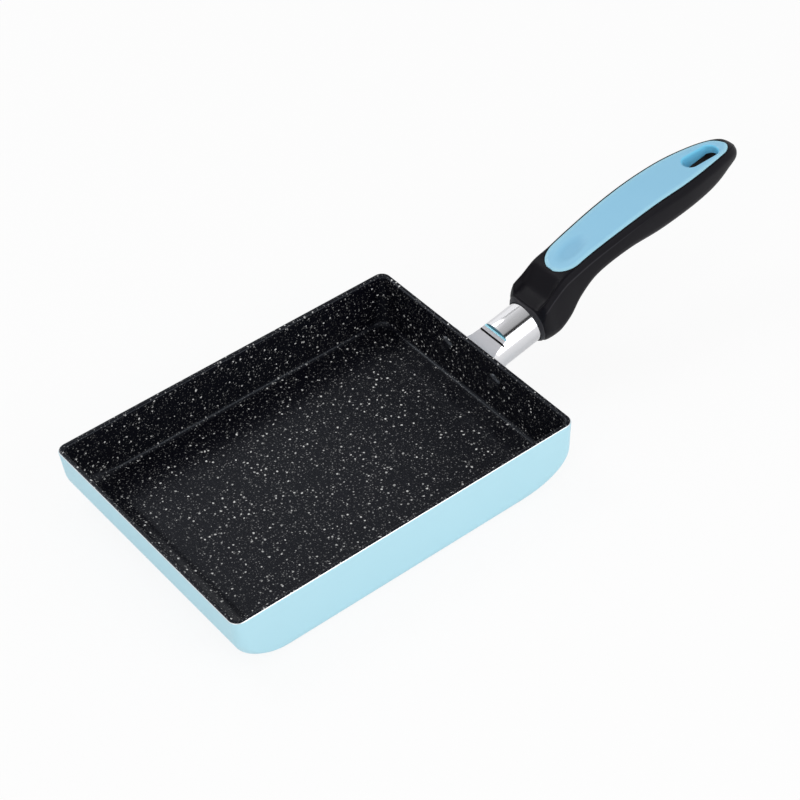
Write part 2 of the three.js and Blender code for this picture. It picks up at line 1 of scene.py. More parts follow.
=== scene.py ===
# %% [markdown]
# # A rectangular omelette pan
# The pan is a tray of cast aluminium with a speckled non-stick inside and light blue enamel outside.
# A metal stem is riveted to its short wall, and a black grip with a blue inlay is screwed to the stem.
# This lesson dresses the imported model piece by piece. Every shape is written in millimetres, in the
# model's own frame, and is turned into metres when its mesh is made.

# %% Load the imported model
import math

import bpy
from mathutils import Matrix, Quaternion, Vector


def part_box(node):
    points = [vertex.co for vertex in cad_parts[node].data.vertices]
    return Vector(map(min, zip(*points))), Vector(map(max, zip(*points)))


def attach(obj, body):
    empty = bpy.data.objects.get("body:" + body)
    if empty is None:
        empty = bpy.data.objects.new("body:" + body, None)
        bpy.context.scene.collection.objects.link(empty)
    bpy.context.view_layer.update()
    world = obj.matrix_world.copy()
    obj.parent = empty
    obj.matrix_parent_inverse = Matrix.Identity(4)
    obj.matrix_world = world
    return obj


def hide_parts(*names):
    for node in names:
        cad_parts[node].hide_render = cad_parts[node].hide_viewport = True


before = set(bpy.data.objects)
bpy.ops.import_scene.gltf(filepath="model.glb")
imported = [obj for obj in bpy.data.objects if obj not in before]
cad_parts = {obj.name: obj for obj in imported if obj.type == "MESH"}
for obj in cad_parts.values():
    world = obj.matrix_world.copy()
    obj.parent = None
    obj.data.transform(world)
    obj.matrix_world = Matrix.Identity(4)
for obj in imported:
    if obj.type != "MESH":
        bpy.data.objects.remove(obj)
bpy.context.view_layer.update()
MM = 0.001
print("nodes:", sorted(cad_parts))

# %% [markdown]
# ## Meshes from rings
# Most pieces change their section smoothly along one line, as a boat's hull does along its keel, and a
# modeller would loft them. Here a loft is a list of rings with strips of four-sided faces between them.

# %% Lofted meshes
def loft(rings):
    """Points and faces of a closed skin over rings that have the same number of points."""
    count = len(rings[0])
    points = [point for ring in rings for point in ring]
    faces = []
    for level in range(len(rings) - 1):
        for i in range(count):
            a = level * count + i
            b = level * count + (i + 1) % count
            faces.append((a, b, b + count, a + count))
    last = (len(rings) - 1) * count
    faces.append(tuple(reversed(range(count))))
    faces.append(tuple(range(last, last + count)))
    return points, faces


def new_mesh(name, shape, place=Matrix.Identity(4)):
    """An object from points and faces in millimetres. The place moves the points, not the object."""
    points, faces = shape
    mesh = bpy.data.meshes.new(name)
    mesh.from_pydata([MM * (place @ Vector(point)) for point in points], [], faces)
    thing = bpy.data.objects.new(name, mesh)
    bpy.context.scene.collection.objects.link(thing)
    return thing


# %% [markdown]
# ## Cutting and joining
# Holes, beds and sockets are cut with Blender's Boolean modifier, as a miller would cut them. The result is
# kept as a plain mesh, and the cutter is thrown away.

# %% Boolean helper
def combine(piece, other, operation):
    """Cuts another shape out of a piece, or joins it on, and throws the other shape away."""
    boolean = piece.modifiers.new(operation, "BOOLEAN")
    boolean.operation = operation
    boolean.solver = "EXACT"
    boolean.object = other
    bpy.context.view_layer.update()
    evaluated = piece.evaluated_get(bpy.context.evaluated_depsgraph_get())
    result = bpy.data.meshes.new_from_object(evaluated)
    piece.modifiers.clear()
    piece.data = result
    bpy.data.objects.remove(other)


def cut(piece, *cutters):
    for cutter in cutters:
        combine(piece, cutter, "DIFFERENCE")


# %% [markdown]
# ## Handing a piece to the frame
# A finished mesh is shaded smooth, with its real edges kept sharp. It rides on the pan's one body, stands in
# for the imported solid and gets its materials. A piece with several finishes is painted face by face first.

# %% Finish a piece
SHARP_ANGLE = math.radians(38)


def paint(piece, rule, place=Matrix.Identity(4)):
    """Numbers each face's material by a rule on its middle, in the place's own frame, and its normal."""
    to_place = place.inverted()
    for face in piece.data.polygons:
        face.material_index = rule(to_place @ (face.center / MM), face.normal)


def hand_over(piece, node, slot, *materials):
    piece.data.shade_smooth()
    piece.data.set_sharp_from_angle(angle=SHARP_ANGLE)
    for material in materials:
        piece.data.materials.append(material)
    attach(piece, "root")
    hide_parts(node)
    print(piece.name, "stands for", node, "with", len(piece.data.polygons), "faces")


# %% [markdown]
# ## Material helpers
# A material is a small graph of nodes. An input's value is a constant or another node's output.

# %% Nodes
TEXTURE_LOW, TEXTURE_HIGH = 0.3, 0.7


def add(tree, kind, values=None, **settings):
    """A new shader node with its settings, and with constants or links on its inputs."""
    node = tree.nodes.new("ShaderNode" + kind)
    for name, value in settings.items():
        setattr(node, name, value)
    for name, value in (values or {}).items():
        if isinstance(value, bpy.types.NodeSocket):
            tree.links.new(value, node.inputs[name])
        else:
            node.inputs[name].default_value = value
    return node


def math_node(tree, operation, first, second):
    return add(tree, "Math", {0: first, 1: second}, operation=operation).outputs[0]


def remap(tree, value, low, high, to_low, to_high, kind="LINEAR"):
    """A value moved from one range to another, and held inside it."""
    inputs = {"Value": value, "From Min": low, "From Max": high, "To Min": to_low, "To Max": to_high}
    return add(tree, "MapRange", inputs, interpolation_type=kind).outputs["Result"]


def mix_colours(tree, share, first, second):
    """Two colours, each three numbers or another node's output, mixed by a share."""
    sides = [side if isinstance(side, bpy.types.NodeSocket) else (*side, 1) for side in (first, second)]
    return add(tree, "Mix", {0: share, 6: sides[0], 7: sides[1]}, data_type="RGBA").outputs[2]


def new_material(name, **plain):
    """A material with one Principled shader and its constants."""
    material = bpy.data.materials.new(name)
    material.use_nodes = True
    shader = material.node_tree.nodes["Principled BSDF"]
    for title, value in plain.items():
        shader.inputs[title.replace("_", " ")].default_value = value
    return material, material.node_tree, shader


def finish(tree, shader, colour, texture, roughness, strength, depth):
    """Links a colour, a roughness that follows a texture between two values, and its bump, if any."""
    tree.links.new(colour, shader.inputs["Base Color"])
    rough = remap(tree, texture, TEXTURE_LOW, TEXTURE_HIGH, *roughness)
    tree.links.new(rough, shader.inputs["Roughness"])
    if strength:
        relief = {"Height": texture, "Strength": strength, "Distance": depth * MM}
        tree.links.new(add(tree, "Bump", relief).outputs["Normal"], shader.inputs["Normal"])


# %% [markdown]
# ## Effects as node groups
# An effect that several finishes share is a node group, built once and placed with its own values.

# %% Group helpers
def new_group(name, inputs, outputs):
    """An empty node group with number sockets, and the sockets at its inner ends."""
    group = bpy.data.node_groups.new(name, "ShaderNodeTree")
    for title, value in inputs.items():
        socket = group.interface.new_socket(title, in_out="INPUT", socket_type="NodeSocketFloat")
        socket.default_value = value
    for title in outputs:
        group.interface.new_socket(title, in_out="OUTPUT", socket_type="NodeSocketFloat")
    return group, group.nodes.new("NodeGroupInput").outputs, group.nodes.new("NodeGroupOutput").inputs


def use_group(tree, group, **values):
    """A node group placed in a material, with its own values."""
    node = tree.nodes.new("ShaderNodeGroup")
    node.node_tree = group
    for name, value in values.items():
        node.inputs[name].default_value = value
    return node


def object_place(tree):
    return add(tree, "TexCoord").outputs["Object"]


def per_metre(tree, size):
    """A texture's scale, from the size of its detail in millimetres."""
    return math_node(tree, "DIVIDE", 1 / MM, size)


def noise(tree, place, scale, detail):
    return add(tree, "TexNoise", {"Vector": place, "Scale": scale, "Detail": detail}).outputs


def vector_node(tree, operation, *values):
    return add(tree, "VectorMath", dict(enumerate(values)), operation=operation).outputs[0]


# %% [markdown]
# ## Sprayed specks
# The non-stick coat is black with pale grey specks sprayed into it. A Voronoi texture scatters one point in
# each cell of space, and a speck shows where the surface passes close to a point. Near misses give small dim
# specks, so their sizes vary as real spatter does.

# %% Speck group
WOBBLE_SCALE = 900.0
WOBBLE_REACH = MM * Vector((0.9, 0.9, 0.9))
DIMMEST_SPECK = 0.35


def build_speck_group():
    inputs = {"Cell": 2.5, "Radius": 0.2, "Share": 0.5, "Softness": 0.5}
    group, start, end = new_group("Sprayed specks", inputs, ["Mask"])
    place = object_place(group)
    wobble = vector_node(group, "SUBTRACT", noise(group, place, WOBBLE_SCALE, 1.0)["Color"], (0.5, 0.5, 0.5))
    moved = vector_node(group, "MULTIPLY_ADD", wobble, WOBBLE_REACH, place)
    scale = per_metre(group, start["Cell"])
    cells = add(group, "TexVoronoi", {"Vector": moved, "Scale": scale}).outputs
    inner = math_node(group, "SUBTRACT", 1.0, start["Softness"])
    core = math_node(group, "MULTIPLY", start["Radius"], inner)
    spot = remap(group, cells["Distance"], core, start["Radius"], 1.0, 0.0, "SMOOTHSTEP")
    chance = add(group, "SeparateColor", {"Color": cells["Color"]}).outputs
    shows = math_node(group, "GREATER_THAN", chance[0], math_node(group, "SUBTRACT", 1.0, start["Share"]))
    bright = remap(group, chance[1], 0.0, 1.0, DIMMEST_SPECK, 1.0)
    mask = math_node(group, "MULTIPLY", math_node(group, "MULTIPLY", spot, shows), bright)
    group.links.new(mask, end["Mask"])
    return group


SPECKS = build_speck_group()
print("group:", SPECKS.name)

# %% [markdown]
# ## Fine grain
# Sprayed, blasted and moulded surfaces have a fine grain, and their tone drifts a little over a few
# centimetres. Two noise textures give both.

# %% Grain group
def build_grain_group():
    group, start, end = new_group("Fine grain", {"Size": 0.5, "Drift": 25.0}, ["Height", "Tone"])
    place = object_place(group)
    for source, output, detail in [("Size", "Height", 3.0), ("Drift", "Tone", 2.0)]:
        texture = noise(group, place, per_metre(group, start[source]), detail)
        group.links.new(texture["Fac"], end[output])
    return group


GRAIN = build_grain_group()
print("group:", GRAIN.name)

# %% [markdown]
# ## Polishing lines
# Polished metal keeps hair lines from the buffing wheel. Noise that is stretched along the stem gives them,
# in a space that is turned by the stem's rise first.

# %% Polish group
STEM_RISE = math.radians(12)


def build_polish_group():
    group, start, end = new_group("Polishing lines", {"Length": 12.0, "Width": 0.2}, ["Lines"])
    turn = {"Vector": object_place(group), "Angle": STEM_RISE}
    level = add(group, "VectorRotate", turn, rotation_type="Y_AXIS").outputs[0]
    across = per_metre(group, start["Width"])
    sizes = {"X": per_metre(group, start["Length"]), "Y": across, "Z": across}
    stretched = vector_node(group, "MULTIPLY", level, add(group, "CombineXYZ", sizes).outputs[0])
    group.links.new(noise(group, stretched, 1.0, 3.0)["Fac"], end["Lines"])
    return group


POLISH = build_polish_group()
print("group:", POLISH.name)

# %% [markdown]
# ## Blue enamel
# The outside is sprayed with light blue enamel and baked to a soft gloss, with a faint orange peel. The same
# recipe serves the matt metal and the plastics, where marks stored on a mesh bring in other tones.

# %% Enamel material
def grained_material(name, dark, light, size, drift, roughness, strength=0, depth=0.05, marks=None, **plain):
    """A finish with fine grain. Each mark is a value stored on the mesh, and the colour it brings in."""
    material, tree, shader = new_material(name, **plain)
    grain = use_group(tree, GRAIN, Size=size, Drift=drift)
    colour = mix_colours(tree, grain.outputs["Tone"], dark, light)
    for title, tint in (marks or {}).items():
        share = add(tree, "Attribute", attribute_name=title).outputs["Fac"]
        colour = mix_colours(tree, share, colour, tint)
    finish(tree, shader, colour, grain.outputs["Height"], roughness, strength, depth)
    return material


ENAMEL = grained_material(
    "blue_enamel", (0.455, 0.74, 0.845), (0.48, 0.765, 0.87), size=2.2, drift=60.0,
    roughness=(0.3, 0.4), strength=0.12, depth=0.08, IOR=1.5, Specular_IOR_Level=0.4)
print("material:", ENAMEL.name)

# %% [markdown]
# ## Speckled non-stick coat
# Three sizes of specks lie over a near-black ground with a soft, slightly blue sheen: many dim ones, fewer
# grey ones and some bright ones. The rivet heads got the same coat, and are rubbed to more gloss.

# %% Coating material
COAT_SHEEN = (0.8, 0.88, 1.0, 1)
COAT_DARK, COAT_LIGHT = (0.0022, 0.0023, 0.0046), (0.0032, 0.0033, 0.006)
SPECK_COLOUR = (0.8, 0.8, 0.79)
SPRAYS = [
    ({"Cell": 1.15, "Radius": 0.32, "Share": 0.95, "Softness": 0.7}, 0.15),
    ({"Cell": 1.6, "Radius": 0.27, "Share": 0.9, "Softness": 0.6}, 0.38),
    ({"Cell": 2.7, "Radius": 0.22, "Share": 0.6, "Softness": 0.4}, 1.0),
]


def coating_material(name, gloss):
    material, tree, shader = new_material(name, IOR=1.5, Specular_IOR_Level=gloss, Specular_Tint=COAT_SHEEN)
    specks = 0.0
    for values, tone in SPRAYS:
        spray = use_group(tree, SPECKS, **values).outputs["Mask"]
        specks = math_node(tree, "MAXIMUM", math_node(tree, "MULTIPLY", spray, tone), specks)
    grain = use_group(tree, GRAIN, Size=0.7, Drift=30.0)
    ground = mix_colours(tree, grain.outputs["Tone"], COAT_DARK, COAT_LIGHT)
    colour = mix_colours(tree, specks, ground, SPECK_COLOUR)
    finish(tree, shader, colour, grain.outputs["Height"], (0.22, 0.32), strength=0.25, depth=0.06)
    return material


COATING = coating_material("speckled_coating", gloss=0.2)
COATED_RIVET = coating_material("coated_rivet", gloss=0.5)
print("materials:", COATING.name, COATED_RIVET.name)

# %% [markdown]
# ## Metals
# The stem is polished until it mirrors the studio. The flat next to the pan is only blasted, so it is matt,
# with a near-black painted shade in a groove across it and a painted teal reflection on the step at its end.
# The rim's trimmed edge, the rivet tails, the screw and the washer are plain metal.

# %% Metal materials
LINE_SHADE, LINE_DEPTH = 0.94, 0.02


def metal_material(name, tint, roughness, length, width, strength):
    """A metal whose polishing lines change its roughness."""
    material, tree, shader = new_material(name, Metallic=1.0)
    lines = use_group(tree, POLISH, Length=length, Width=width).outputs["Lines"]
    colour = mix_colours(tree, lines, tint, [LINE_SHADE * value for value in tint])
    finish(tree, shader, colour, lines, roughness, strength, LINE_DEPTH)
    return material


POLISHED = metal_material("polished_stem", (0.83, 0.83, 0.855), (0.1, 0.16), 14.0, 0.25, 0.05)
# A teal-tinted metal that paints a reflection onto the step face and the end of the flat.
STEP_REFLECTION_TINT = metal_material("painted_step_reflection", (0.15, 0.31, 0.37), (0.2, 0.3), 2.0, 0.3, 0.05)
TRIMMED = metal_material("trimmed_edge", (0.78, 0.8, 0.82), (0.3, 0.4), 4.0, 0.3, 0.05)
BARE = metal_material("bare_aluminium", (0.72, 0.72, 0.73), (0.25, 0.4), 1.5, 0.3, 0.15)
STEEL = metal_material("plain_steel", (0.56, 0.56, 0.57), (0.22, 0.36), 1.2, 0.2, 0.15)
BLASTED = grained_material(
    "blasted_flat", (0.44, 0.435, 0.46), (0.47, 0.465, 0.49), size=0.35, drift=10.0,
    roughness=(0.6, 0.75), strength=0.3, Metallic=0.25)
# A near-black finish that paints the shade in the groove across the flat.
PAINTED_GROOVE_SHADE = grained_material(
    "painted_groove_shade", (0.004, 0.004, 0.005), (0.012, 0.012, 0.013), size=0.4, drift=6.0,
    roughness=(0.7, 0.9), Specular_IOR_Level=0.1)
print("metals:", [metal.name for metal in (POLISHED, STEP_REFLECTION_TINT, TRIMMED, BARE, STEEL, BLASTED, PAINTED_GROOVE_SHADE)])

# %% [markdown]
# ## Moulded plastics
# The grip is black plastic with a satin mould finish, and the inlay is sky blue. Marks paint a grey
# highlight on the grip's crease and bead, a pale highlight on the inlay's edge and shade in its thumb dish.
# The slot's own blue is deepened with painted shade.

# %% Plastic materials
MOULDED = {"drift": 22.0, "IOR": 1.46}
INLAID = {"size": 0.5, "roughness": (0.4, 0.5), "strength": 0.1, "Specular_IOR_Level": 0.2, **MOULDED}
# A grey that paints the highlight on the grip's crease and bead.
GRIP_MARKS = {"painted_crease_highlight": (0.034, 0.033, 0.038)}
# A paler blue paints the highlight on the rolled edge, and a deeper one paints shade in the thumb dish.
INLAY_MARKS = {"painted_edge_highlight": (0.38, 0.69, 0.82), "painted_dish_shade": (0.232, 0.5, 0.705)}
BLACK = grained_material(
    "black_grip", (0.0036, 0.0031, 0.0054), (0.005, 0.0044, 0.007), size=0.4, roughness=(0.36, 0.46),
    strength=0.15, marks=GRIP_MARKS, Specular_IOR_Level=0.1, **MOULDED)
BLUE = grained_material("blue_inlay", (0.27, 0.56, 0.765), (0.29, 0.585, 0.785), marks=INLAY_MARKS, **INLAID)
# The collar's own blue, made deeper and more saturated to paint the shade and blue bounce inside the slot.
SLOT_BLUE_AND_SHADE = grained_material("slot_blue_with_painted_shade", (0.2, 0.62, 0.86), (0.22, 0.65, 0.89), **INLAID)
print("plastics:", BLACK.name, BLUE.name, SLOT_BLUE_AND_SHADE.name)

# %% [markdown]
# ## The tray's outline
# The tray is a rounded rectangle at every height. Its walls lean in a little towards the base and turn into
# it with a bend, wide at the pouring front and tight at the sides. The overall sizes come from the frame.

# %% Tray sizes and rings
coat_low, coat_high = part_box("nonstick_coating")
PAN_LENGTH = (coat_high.x - coat_low.x) / MM
PAN_WIDTH = (coat_high.y - coat_low.y) / MM
PAN_HEIGHT = coat_high.z / MM
BASE, WALL, COAT = 5.0, 2.6, 0.4
FLOOR_DEPTH = PAN_HEIGHT - BASE
FRONT_LEAN, SIDE_LEAN, HANDLE_LEAN = 3.0, 0.4, 1.6
FRONT_THICKENING, SIDE_THICKENING, HANDLE_THICKENING = 0.5, 1.4, 0.6
FRONT_BEND, SIDE_BEND, HANDLE_BEND, CORNER_SWEEP = 19.0, 4.0, 8.0, 16.5
INNER_FRONT_BEND, INNER_BEND = 16.0, 2.0
RIM_CORNER, FRONT_BASE_CORNER, HANDLE_BASE_CORNER = 5.0, 19.0, 45.0
INNER_RIM_CORNER, INNER_FRONT_CORNER, INNER_HANDLE_CORNER = 3.0, 12.0, 7.0
CORNER_STEPS, STRAIGHT_STEPS = 14, 8


def between(start, end, share):
    """The value that lies a share of the way from a start to an end."""
    return start + (end - start) * share


def bend_inset(depth, full_depth, radius):
    """How far a quarter-round bend at the foot of a wall has turned in, at a depth below the rim."""
    past = max(depth - (full_depth - radius), 0)
    return radius - math.sqrt(max(radius * radius - past * past, 0))


def pan_ring(front, handle, side, front_corner, handle_corner, depth):
    """A rounded rectangle, anticlockwise from above, set in from the rim's outline at a depth below it."""
    x_front, x_handle, y_side = front - PAN_LENGTH / 2, PAN_LENGTH / 2 - handle, PAN_WIDTH / 2 - side
    corners = [(x_handle, y_side, 1, 1, handle_corner), (x_front, y_side, -1, 1, front_corner),
               (x_front, -y_side, -1, -1, front_corner), (x_handle, -y_side, 1, -1, handle_corner)]
    arcs = []
    for turn, (x, y, to_x, to_y, radius) in enumerate(corners):
        middle = Vector((x - to_x * radius, y - to_y * radius, PAN_HEIGHT - depth))
        angles = [(turn + step / CORNER_STEPS) * math.pi / 2 for step in range(CORNER_STEPS + 1)]
        arcs.append([middle + radius * Vector((math.cos(angle), math.sin(angle), 0)) for angle in angles])
    ring = []
    for arc, following in zip(arcs, arcs[1:] + arcs[:1]):
        ring += arc
        ring += [arc[-1].lerp(following[0], step / STRAIGHT_STEPS) for step in range(1, STRAIGHT_STEPS)]
    return ring


def outside_at(depth):
    share = depth / PAN_HEIGHT
    widen = bend_inset(depth, PAN_HEIGHT, CORNER_SWEEP) / CORNER_SWEEP
    sides = [(FRONT_LEAN, FRONT_BEND), (HANDLE_LEAN, HANDLE_BEND), (SIDE_LEAN, SIDE_BEND)]
    insets = [lean * share + bend_inset(depth, PAN_HEIGHT, bend) for lean, bend in sides]
    ends = (FRONT_BASE_CORNER, HANDLE_BASE_CORNER)
    return pan_ring(*insets, *[between(RIM_CORNER, end, widen) for end in ends], depth)


def inside_at(depth, layer=0.0, shrink=0.0):
    """The inside at a depth, set back into the metal by a layer, or shrunk in over the floor."""
    share = depth / FLOOR_DEPTH
    sides = [(FRONT_LEAN, FRONT_THICKENING, INNER_FRONT_BEND), (HANDLE_LEAN, HANDLE_THICKENING, INNER_BEND),
             (SIDE_LEAN, SIDE_THICKENING, INNER_BEND)]
    insets = [WALL + lean * depth / PAN_HEIGHT + thickening * share
              + bend_inset(depth, FLOOR_DEPTH, bend) - layer + shrink for lean, thickening, bend in sides]
    ends = (INNER_FRONT_CORNER, INNER_HANDLE_CORNER)
    return pan_ring(*insets, *[between(INNER_RIM_CORNER, end, share) for end in ends], depth + layer)


def rim_at(inset, depth):
    """A ring on the rim, between its outer and inner edges."""
    corner = between(RIM_CORNER, INNER_RIM_CORNER, inset / WALL)
    return pan_ring(inset, inset, inset, corner, corner, depth)


print("tray:", round(PAN_LENGTH), "by", round(PAN_WIDTH), "by", PAN_HEIGHT, "mm")

# %% [markdown]
# ## The tray and its coat
# The rim's edges are turned over by a small round. The enamel ends part of the way up it, a thin line of
# trimmed metal shows above, and the coat, a thin closed skin on the inside, comes over the rim to meet that.

# %% Tray and coat
RIM_ROUND = 0.9
COAT_EDGE = math.radians(58)
ROUND_STEPS, BEND_STEPS = 5, 22
WALL_SHARES = (0.0, 0.15, 0.6)
FLOOR_SHRINKS = (1.0, 4.0, 20.0)


def quarter_turn(steps):
    """Even angles from nothing to a right angle."""
    return [step / steps * math.pi / 2 for step in range(steps + 1)]


def ring_depths(full_depth, largest_bend):
    """Depths for the rings: close together near the rim, then at even angles round the bend."""
    straight_end = full_depth - largest_bend
    straight = [between(RIM_ROUND, straight_end, share) for share in WALL_SHARES]
    return straight + [straight_end + largest_bend * math.sin(angle) for angle in quarter_turn(BEND_STEPS)]


def outer_round(start, end):
    """Rings over the rim's outer round, between two angles."""
    angles = [between(start, end, step / ROUND_STEPS) for step in range(ROUND_STEPS + 1)]
    return [rim_at(RIM_ROUND * (1 - math.cos(angle)), RIM_ROUND * (1 - math.sin(angle))) for angle in angles]


def inner_round():
    return [rim_at(WALL - RIM_ROUND * (1 - math.sin(angle)), RIM_ROUND * (1 - math.cos(angle)))
            for angle in quarter_turn(ROUND_STEPS)[:-1]]


def floor_rings(layer):
    return [inside_at(FLOOR_DEPTH, layer=layer, shrink=amount) for amount in FLOOR_SHRINKS]


inside_depths = ring_depths(FLOOR_DEPTH, INNER_FRONT_BEND)
under_coat = [inside_at(depth, layer=COAT) for depth in inside_depths] + floor_rings(COAT)
under_rim = rim_at(WALL / 2, COAT)

tray_rings = [outside_at(depth) for depth in reversed(ring_depths(PAN_HEIGHT, FRONT_BEND))]
tray_rings += outer_round(0, COAT_EDGE)[1:] + [under_rim] + under_coat
tray = new_mesh("pan_shell", loft(tray_rings))

coat_rings = list(reversed(under_coat)) + [under_rim]
coat_rings += outer_round(COAT_EDGE, math.pi / 2) + inner_round()
coat_rings += [inside_at(depth) for depth in inside_depths] + floor_rings(0.0)
coat = new_mesh("nonstick_skin", loft(coat_rings))
print("tray rings:", len(tray_rings), "coat rings:", len(coat_rings))

# %% [markdown]
# ## Two places to build from
# The bracket is built square to the leaning short wall, and the grip along the rising stem. Each has its own
# frame, so that the pieces can be written as if they lay straight.

# %% Wall frame and handle frame
STEM_DROP = 11.0
WALL_LEAN = math.atan(HANDLE_LEAN / PAN_HEIGHT)
FOOT = Vector((PAN_LENGTH / 2 - HANDLE_LEAN * STEM_DROP / PAN_HEIGHT, 0, PAN_HEIGHT - STEM_DROP))
WALL_FRAME = Matrix.Translation(FOOT) @ Matrix.Rotation(WALL_LEAN, 4, "Y")
HANDLE_FRAME = Matrix.Translation(FOOT) @ Matrix.Rotation(-STEM_RISE, 4, "Y")
FIT = 0.3
OVERCUT = 1.0
ROUND_POINTS = 64


def circle(radius):
    """Pairs of a place across and a place up, round a circle."""
    angles = [2 * math.pi * i / ROUND_POINTS for i in range(ROUND_POINTS)]
    return [(radius * math.cos(angle), radius * math.sin(angle)) for angle in angles]


def turned(profile, side=0.0):
    """A round solid about the X axis, from pairs of a place along it and a radius."""
    return loft([[(along, side + y, z) for y, z in circle(radius)] for along, radius in profile])


def upright(along, profile):
    """A round solid about a line square to the stem, from pairs of a height and a radius."""
    return loft([[(along + x, y, height) for x, y in circle(radius)] for height, radius in profile])


print("stem foot at", [round(value, 1) for value in FOOT])

# %% [markdown]
# ## Rivets
# Two rivets hold the bracket. Their low domed heads lie inside the pan, under the coat, and their set tails
# lie on the flange in bare metal. Tray and coat get a hole for each shank.

# %% Rivets and their holes
RIVET_SHANK = 5.2
RIVET_HEAD, RIVET_HEAD_HEIGHT = 9.4, 2.0
RIVET_TAIL, RIVET_TAIL_HEIGHT = 8.4, 2.2
RIVET_SPACING = 35.1
FLANGE_THICKNESS = 3.0
FLANGE_FACE = FIT + FLANGE_THICKNESS
WALL_AT_RIVETS = WALL + HANDLE_THICKENING * STEM_DROP / FLOOR_DEPTH
DOME_STEPS = 8
RIVET_SIDES = {"rivet_left": RIVET_SPACING / 2, "rivet_right": -RIVET_SPACING / 2}


def dome(seat, height, radius):
    """Profile of a dome from its rim to just before its top, as a quarter of an ellipse."""
    return [(seat + height * math.sin(angle), radius * math.cos(angle))
            for angle in quarter_turn(DOME_STEPS)[:-1]]


def rivet_shape(side):
    head = dome(-WALL_AT_RIVETS - FIT, -RIVET_HEAD_HEIGHT, RIVET_HEAD / 2)
    tail = dome(FLANGE_FACE + FIT, RIVET_TAIL_HEIGHT, RIVET_TAIL / 2)
    shank = [(head[0][0], RIVET_SHANK / 2), (tail[0][0], RIVET_SHANK / 2)]
    return turned(list(reversed(head)) + shank + tail, side)


def rivet_hole(side):
    reach = WALL_AT_RIVETS + FLANGE_FACE + OVERCUT
    radius = RIVET_SHANK / 2 + FIT
    return new_mesh("hole", turned([(-reach, radius), (reach, radius)], side), WALL_FRAME)


for name, side in RIVET_SIDES.items():
    rivet = new_mesh(name + "_dressed", rivet_shape(side), WALL_FRAME)
    paint(rivet, lambda middle, normal: int(middle.x > -WALL_AT_RIVETS), WALL_FRAME)
    hand_over(rivet, name, "coated_rivet", COATED_RIVET, BARE)
    cut(tray, rivet_hole(side))
    cut(coat, rivet_hole(side))

# %% [markdown]
# ## Enamel, trimmed edge and coat
# With its holes cut, the tray can be painted. The band above the enamel's edge, where the outer round
# already looks up, is the trimmed line.

# %% Finish tray and coat
ENAMEL_EDGE = math.radians(36)
LOOKS_UP = 0.2
ENAMEL_TOP = PAN_HEIGHT - RIM_ROUND * (1 - math.sin(ENAMEL_EDGE))
paint(tray, lambda middle, normal: int(middle.z > ENAMEL_TOP and normal.z > LOOKS_UP))
hand_over(tray, "pan_body", "blue_enamel", ENAMEL, TRIMMED)
hand_over(coat, "nonstick_coating", "speckled_coating", COATING)

# %% [markdown]
# ## The bracket's stem
# Flange and stem are one casting. The stem is a round bar that flares at its foot, with a flat milled into
# its top and a groove across the flat. A ring of it is a circle whose top is cut off level where the flat
# runs, so one loft gives them all. A thinner tang goes on into the grip.

# %% Stem
STEM_RADIUS = 10.75
STEM_FLARE, STEM_FLARE_LENGTH = 2.2, 9.0
STEM_SHOWING, STEM_IN_GRIP = 28.7, 2.5
TANG_RADIUS, TANG_LENGTH, TANG_CHAMFER = 6.2, 12.0, 1.0
FLAT_LENGTH, FLAT_DEPTH, FLAT_TILT = 11.7, 3.2, math.radians(9)
# REFLECTION_TINT_REACH is how far the painted teal reflection runs back along the flat from the step.
STEP_ROUND, REFLECTION_TINT_REACH, PLAIN_BAR = 0.35, 0.9, 12.0
GROOVE_GAP, GROOVE_WIDTH, GROOVE_DEPTH = 2.7, 1.0, 0.8
FLAT_POINTS, ARC_POINTS, FLAT_STEPS = 16, 72, 8
GRIP_FRONT = FLANGE_FACE + STEM_SHOWING
SHOULDER = GRIP_FRONT + STEM_IN_GRIP
TANG_END = SHOULDER + TANG_LENGTH
STEP = FLANGE_FACE + FLAT_LENGTH
STEP_HEIGHT = STEM_RADIUS - FLAT_DEPTH
GROOVE_END = STEP - GROOVE_GAP
GROOVE_START = GROOVE_END - GROOVE_WIDTH


def held(share):
    """A share, held between nothing and one."""
    return min(1.0, max(0.0, share))


def stem_radius(along):
    """The bar's radius, with the flare at its foot as a curve that dies out along the bar."""
    share = 1 - math.sqrt(held((along - FLANGE_FACE) / STEM_FLARE_LENGTH))
    return STEM_RADIUS + STEM_FLARE * share * share


def flat_height(along):
    return STEP_HEIGHT - (STEP - max(along, FLANGE_FACE)) * math.tan(FLAT_TILT)


def stem_ring(along, radius, level, ceiling):
    """A circle, cut off at a ceiling. Its first points lie over the chord at the given level."""
    edge = math.acos(level / radius)
    over = [edge * (2 * i / FLAT_POINTS - 1) for i in range(FLAT_POINTS)]
    round_part = [edge + (2 * math.pi - 2 * edge) * i / ARC_POINTS for i in range(ARC_POINTS)]
    return [(along, -radius * math.sin(angle), min(radius * math.cos(angle), ceiling))
            for angle in over + round_part]


def stem_foot():
    """The first ring, which lies slanted inside the flange."""
    slant = STEM_RISE + WALL_LEAN
    seat = (FIT + FLANGE_THICKNESS / 4) / math.cos(slant)
    level = flat_height(FLANGE_FACE)
    return [(seat + z * math.tan(slant), y, z) for _, y, z in stem_ring(0, stem_radius(0), level, level)]


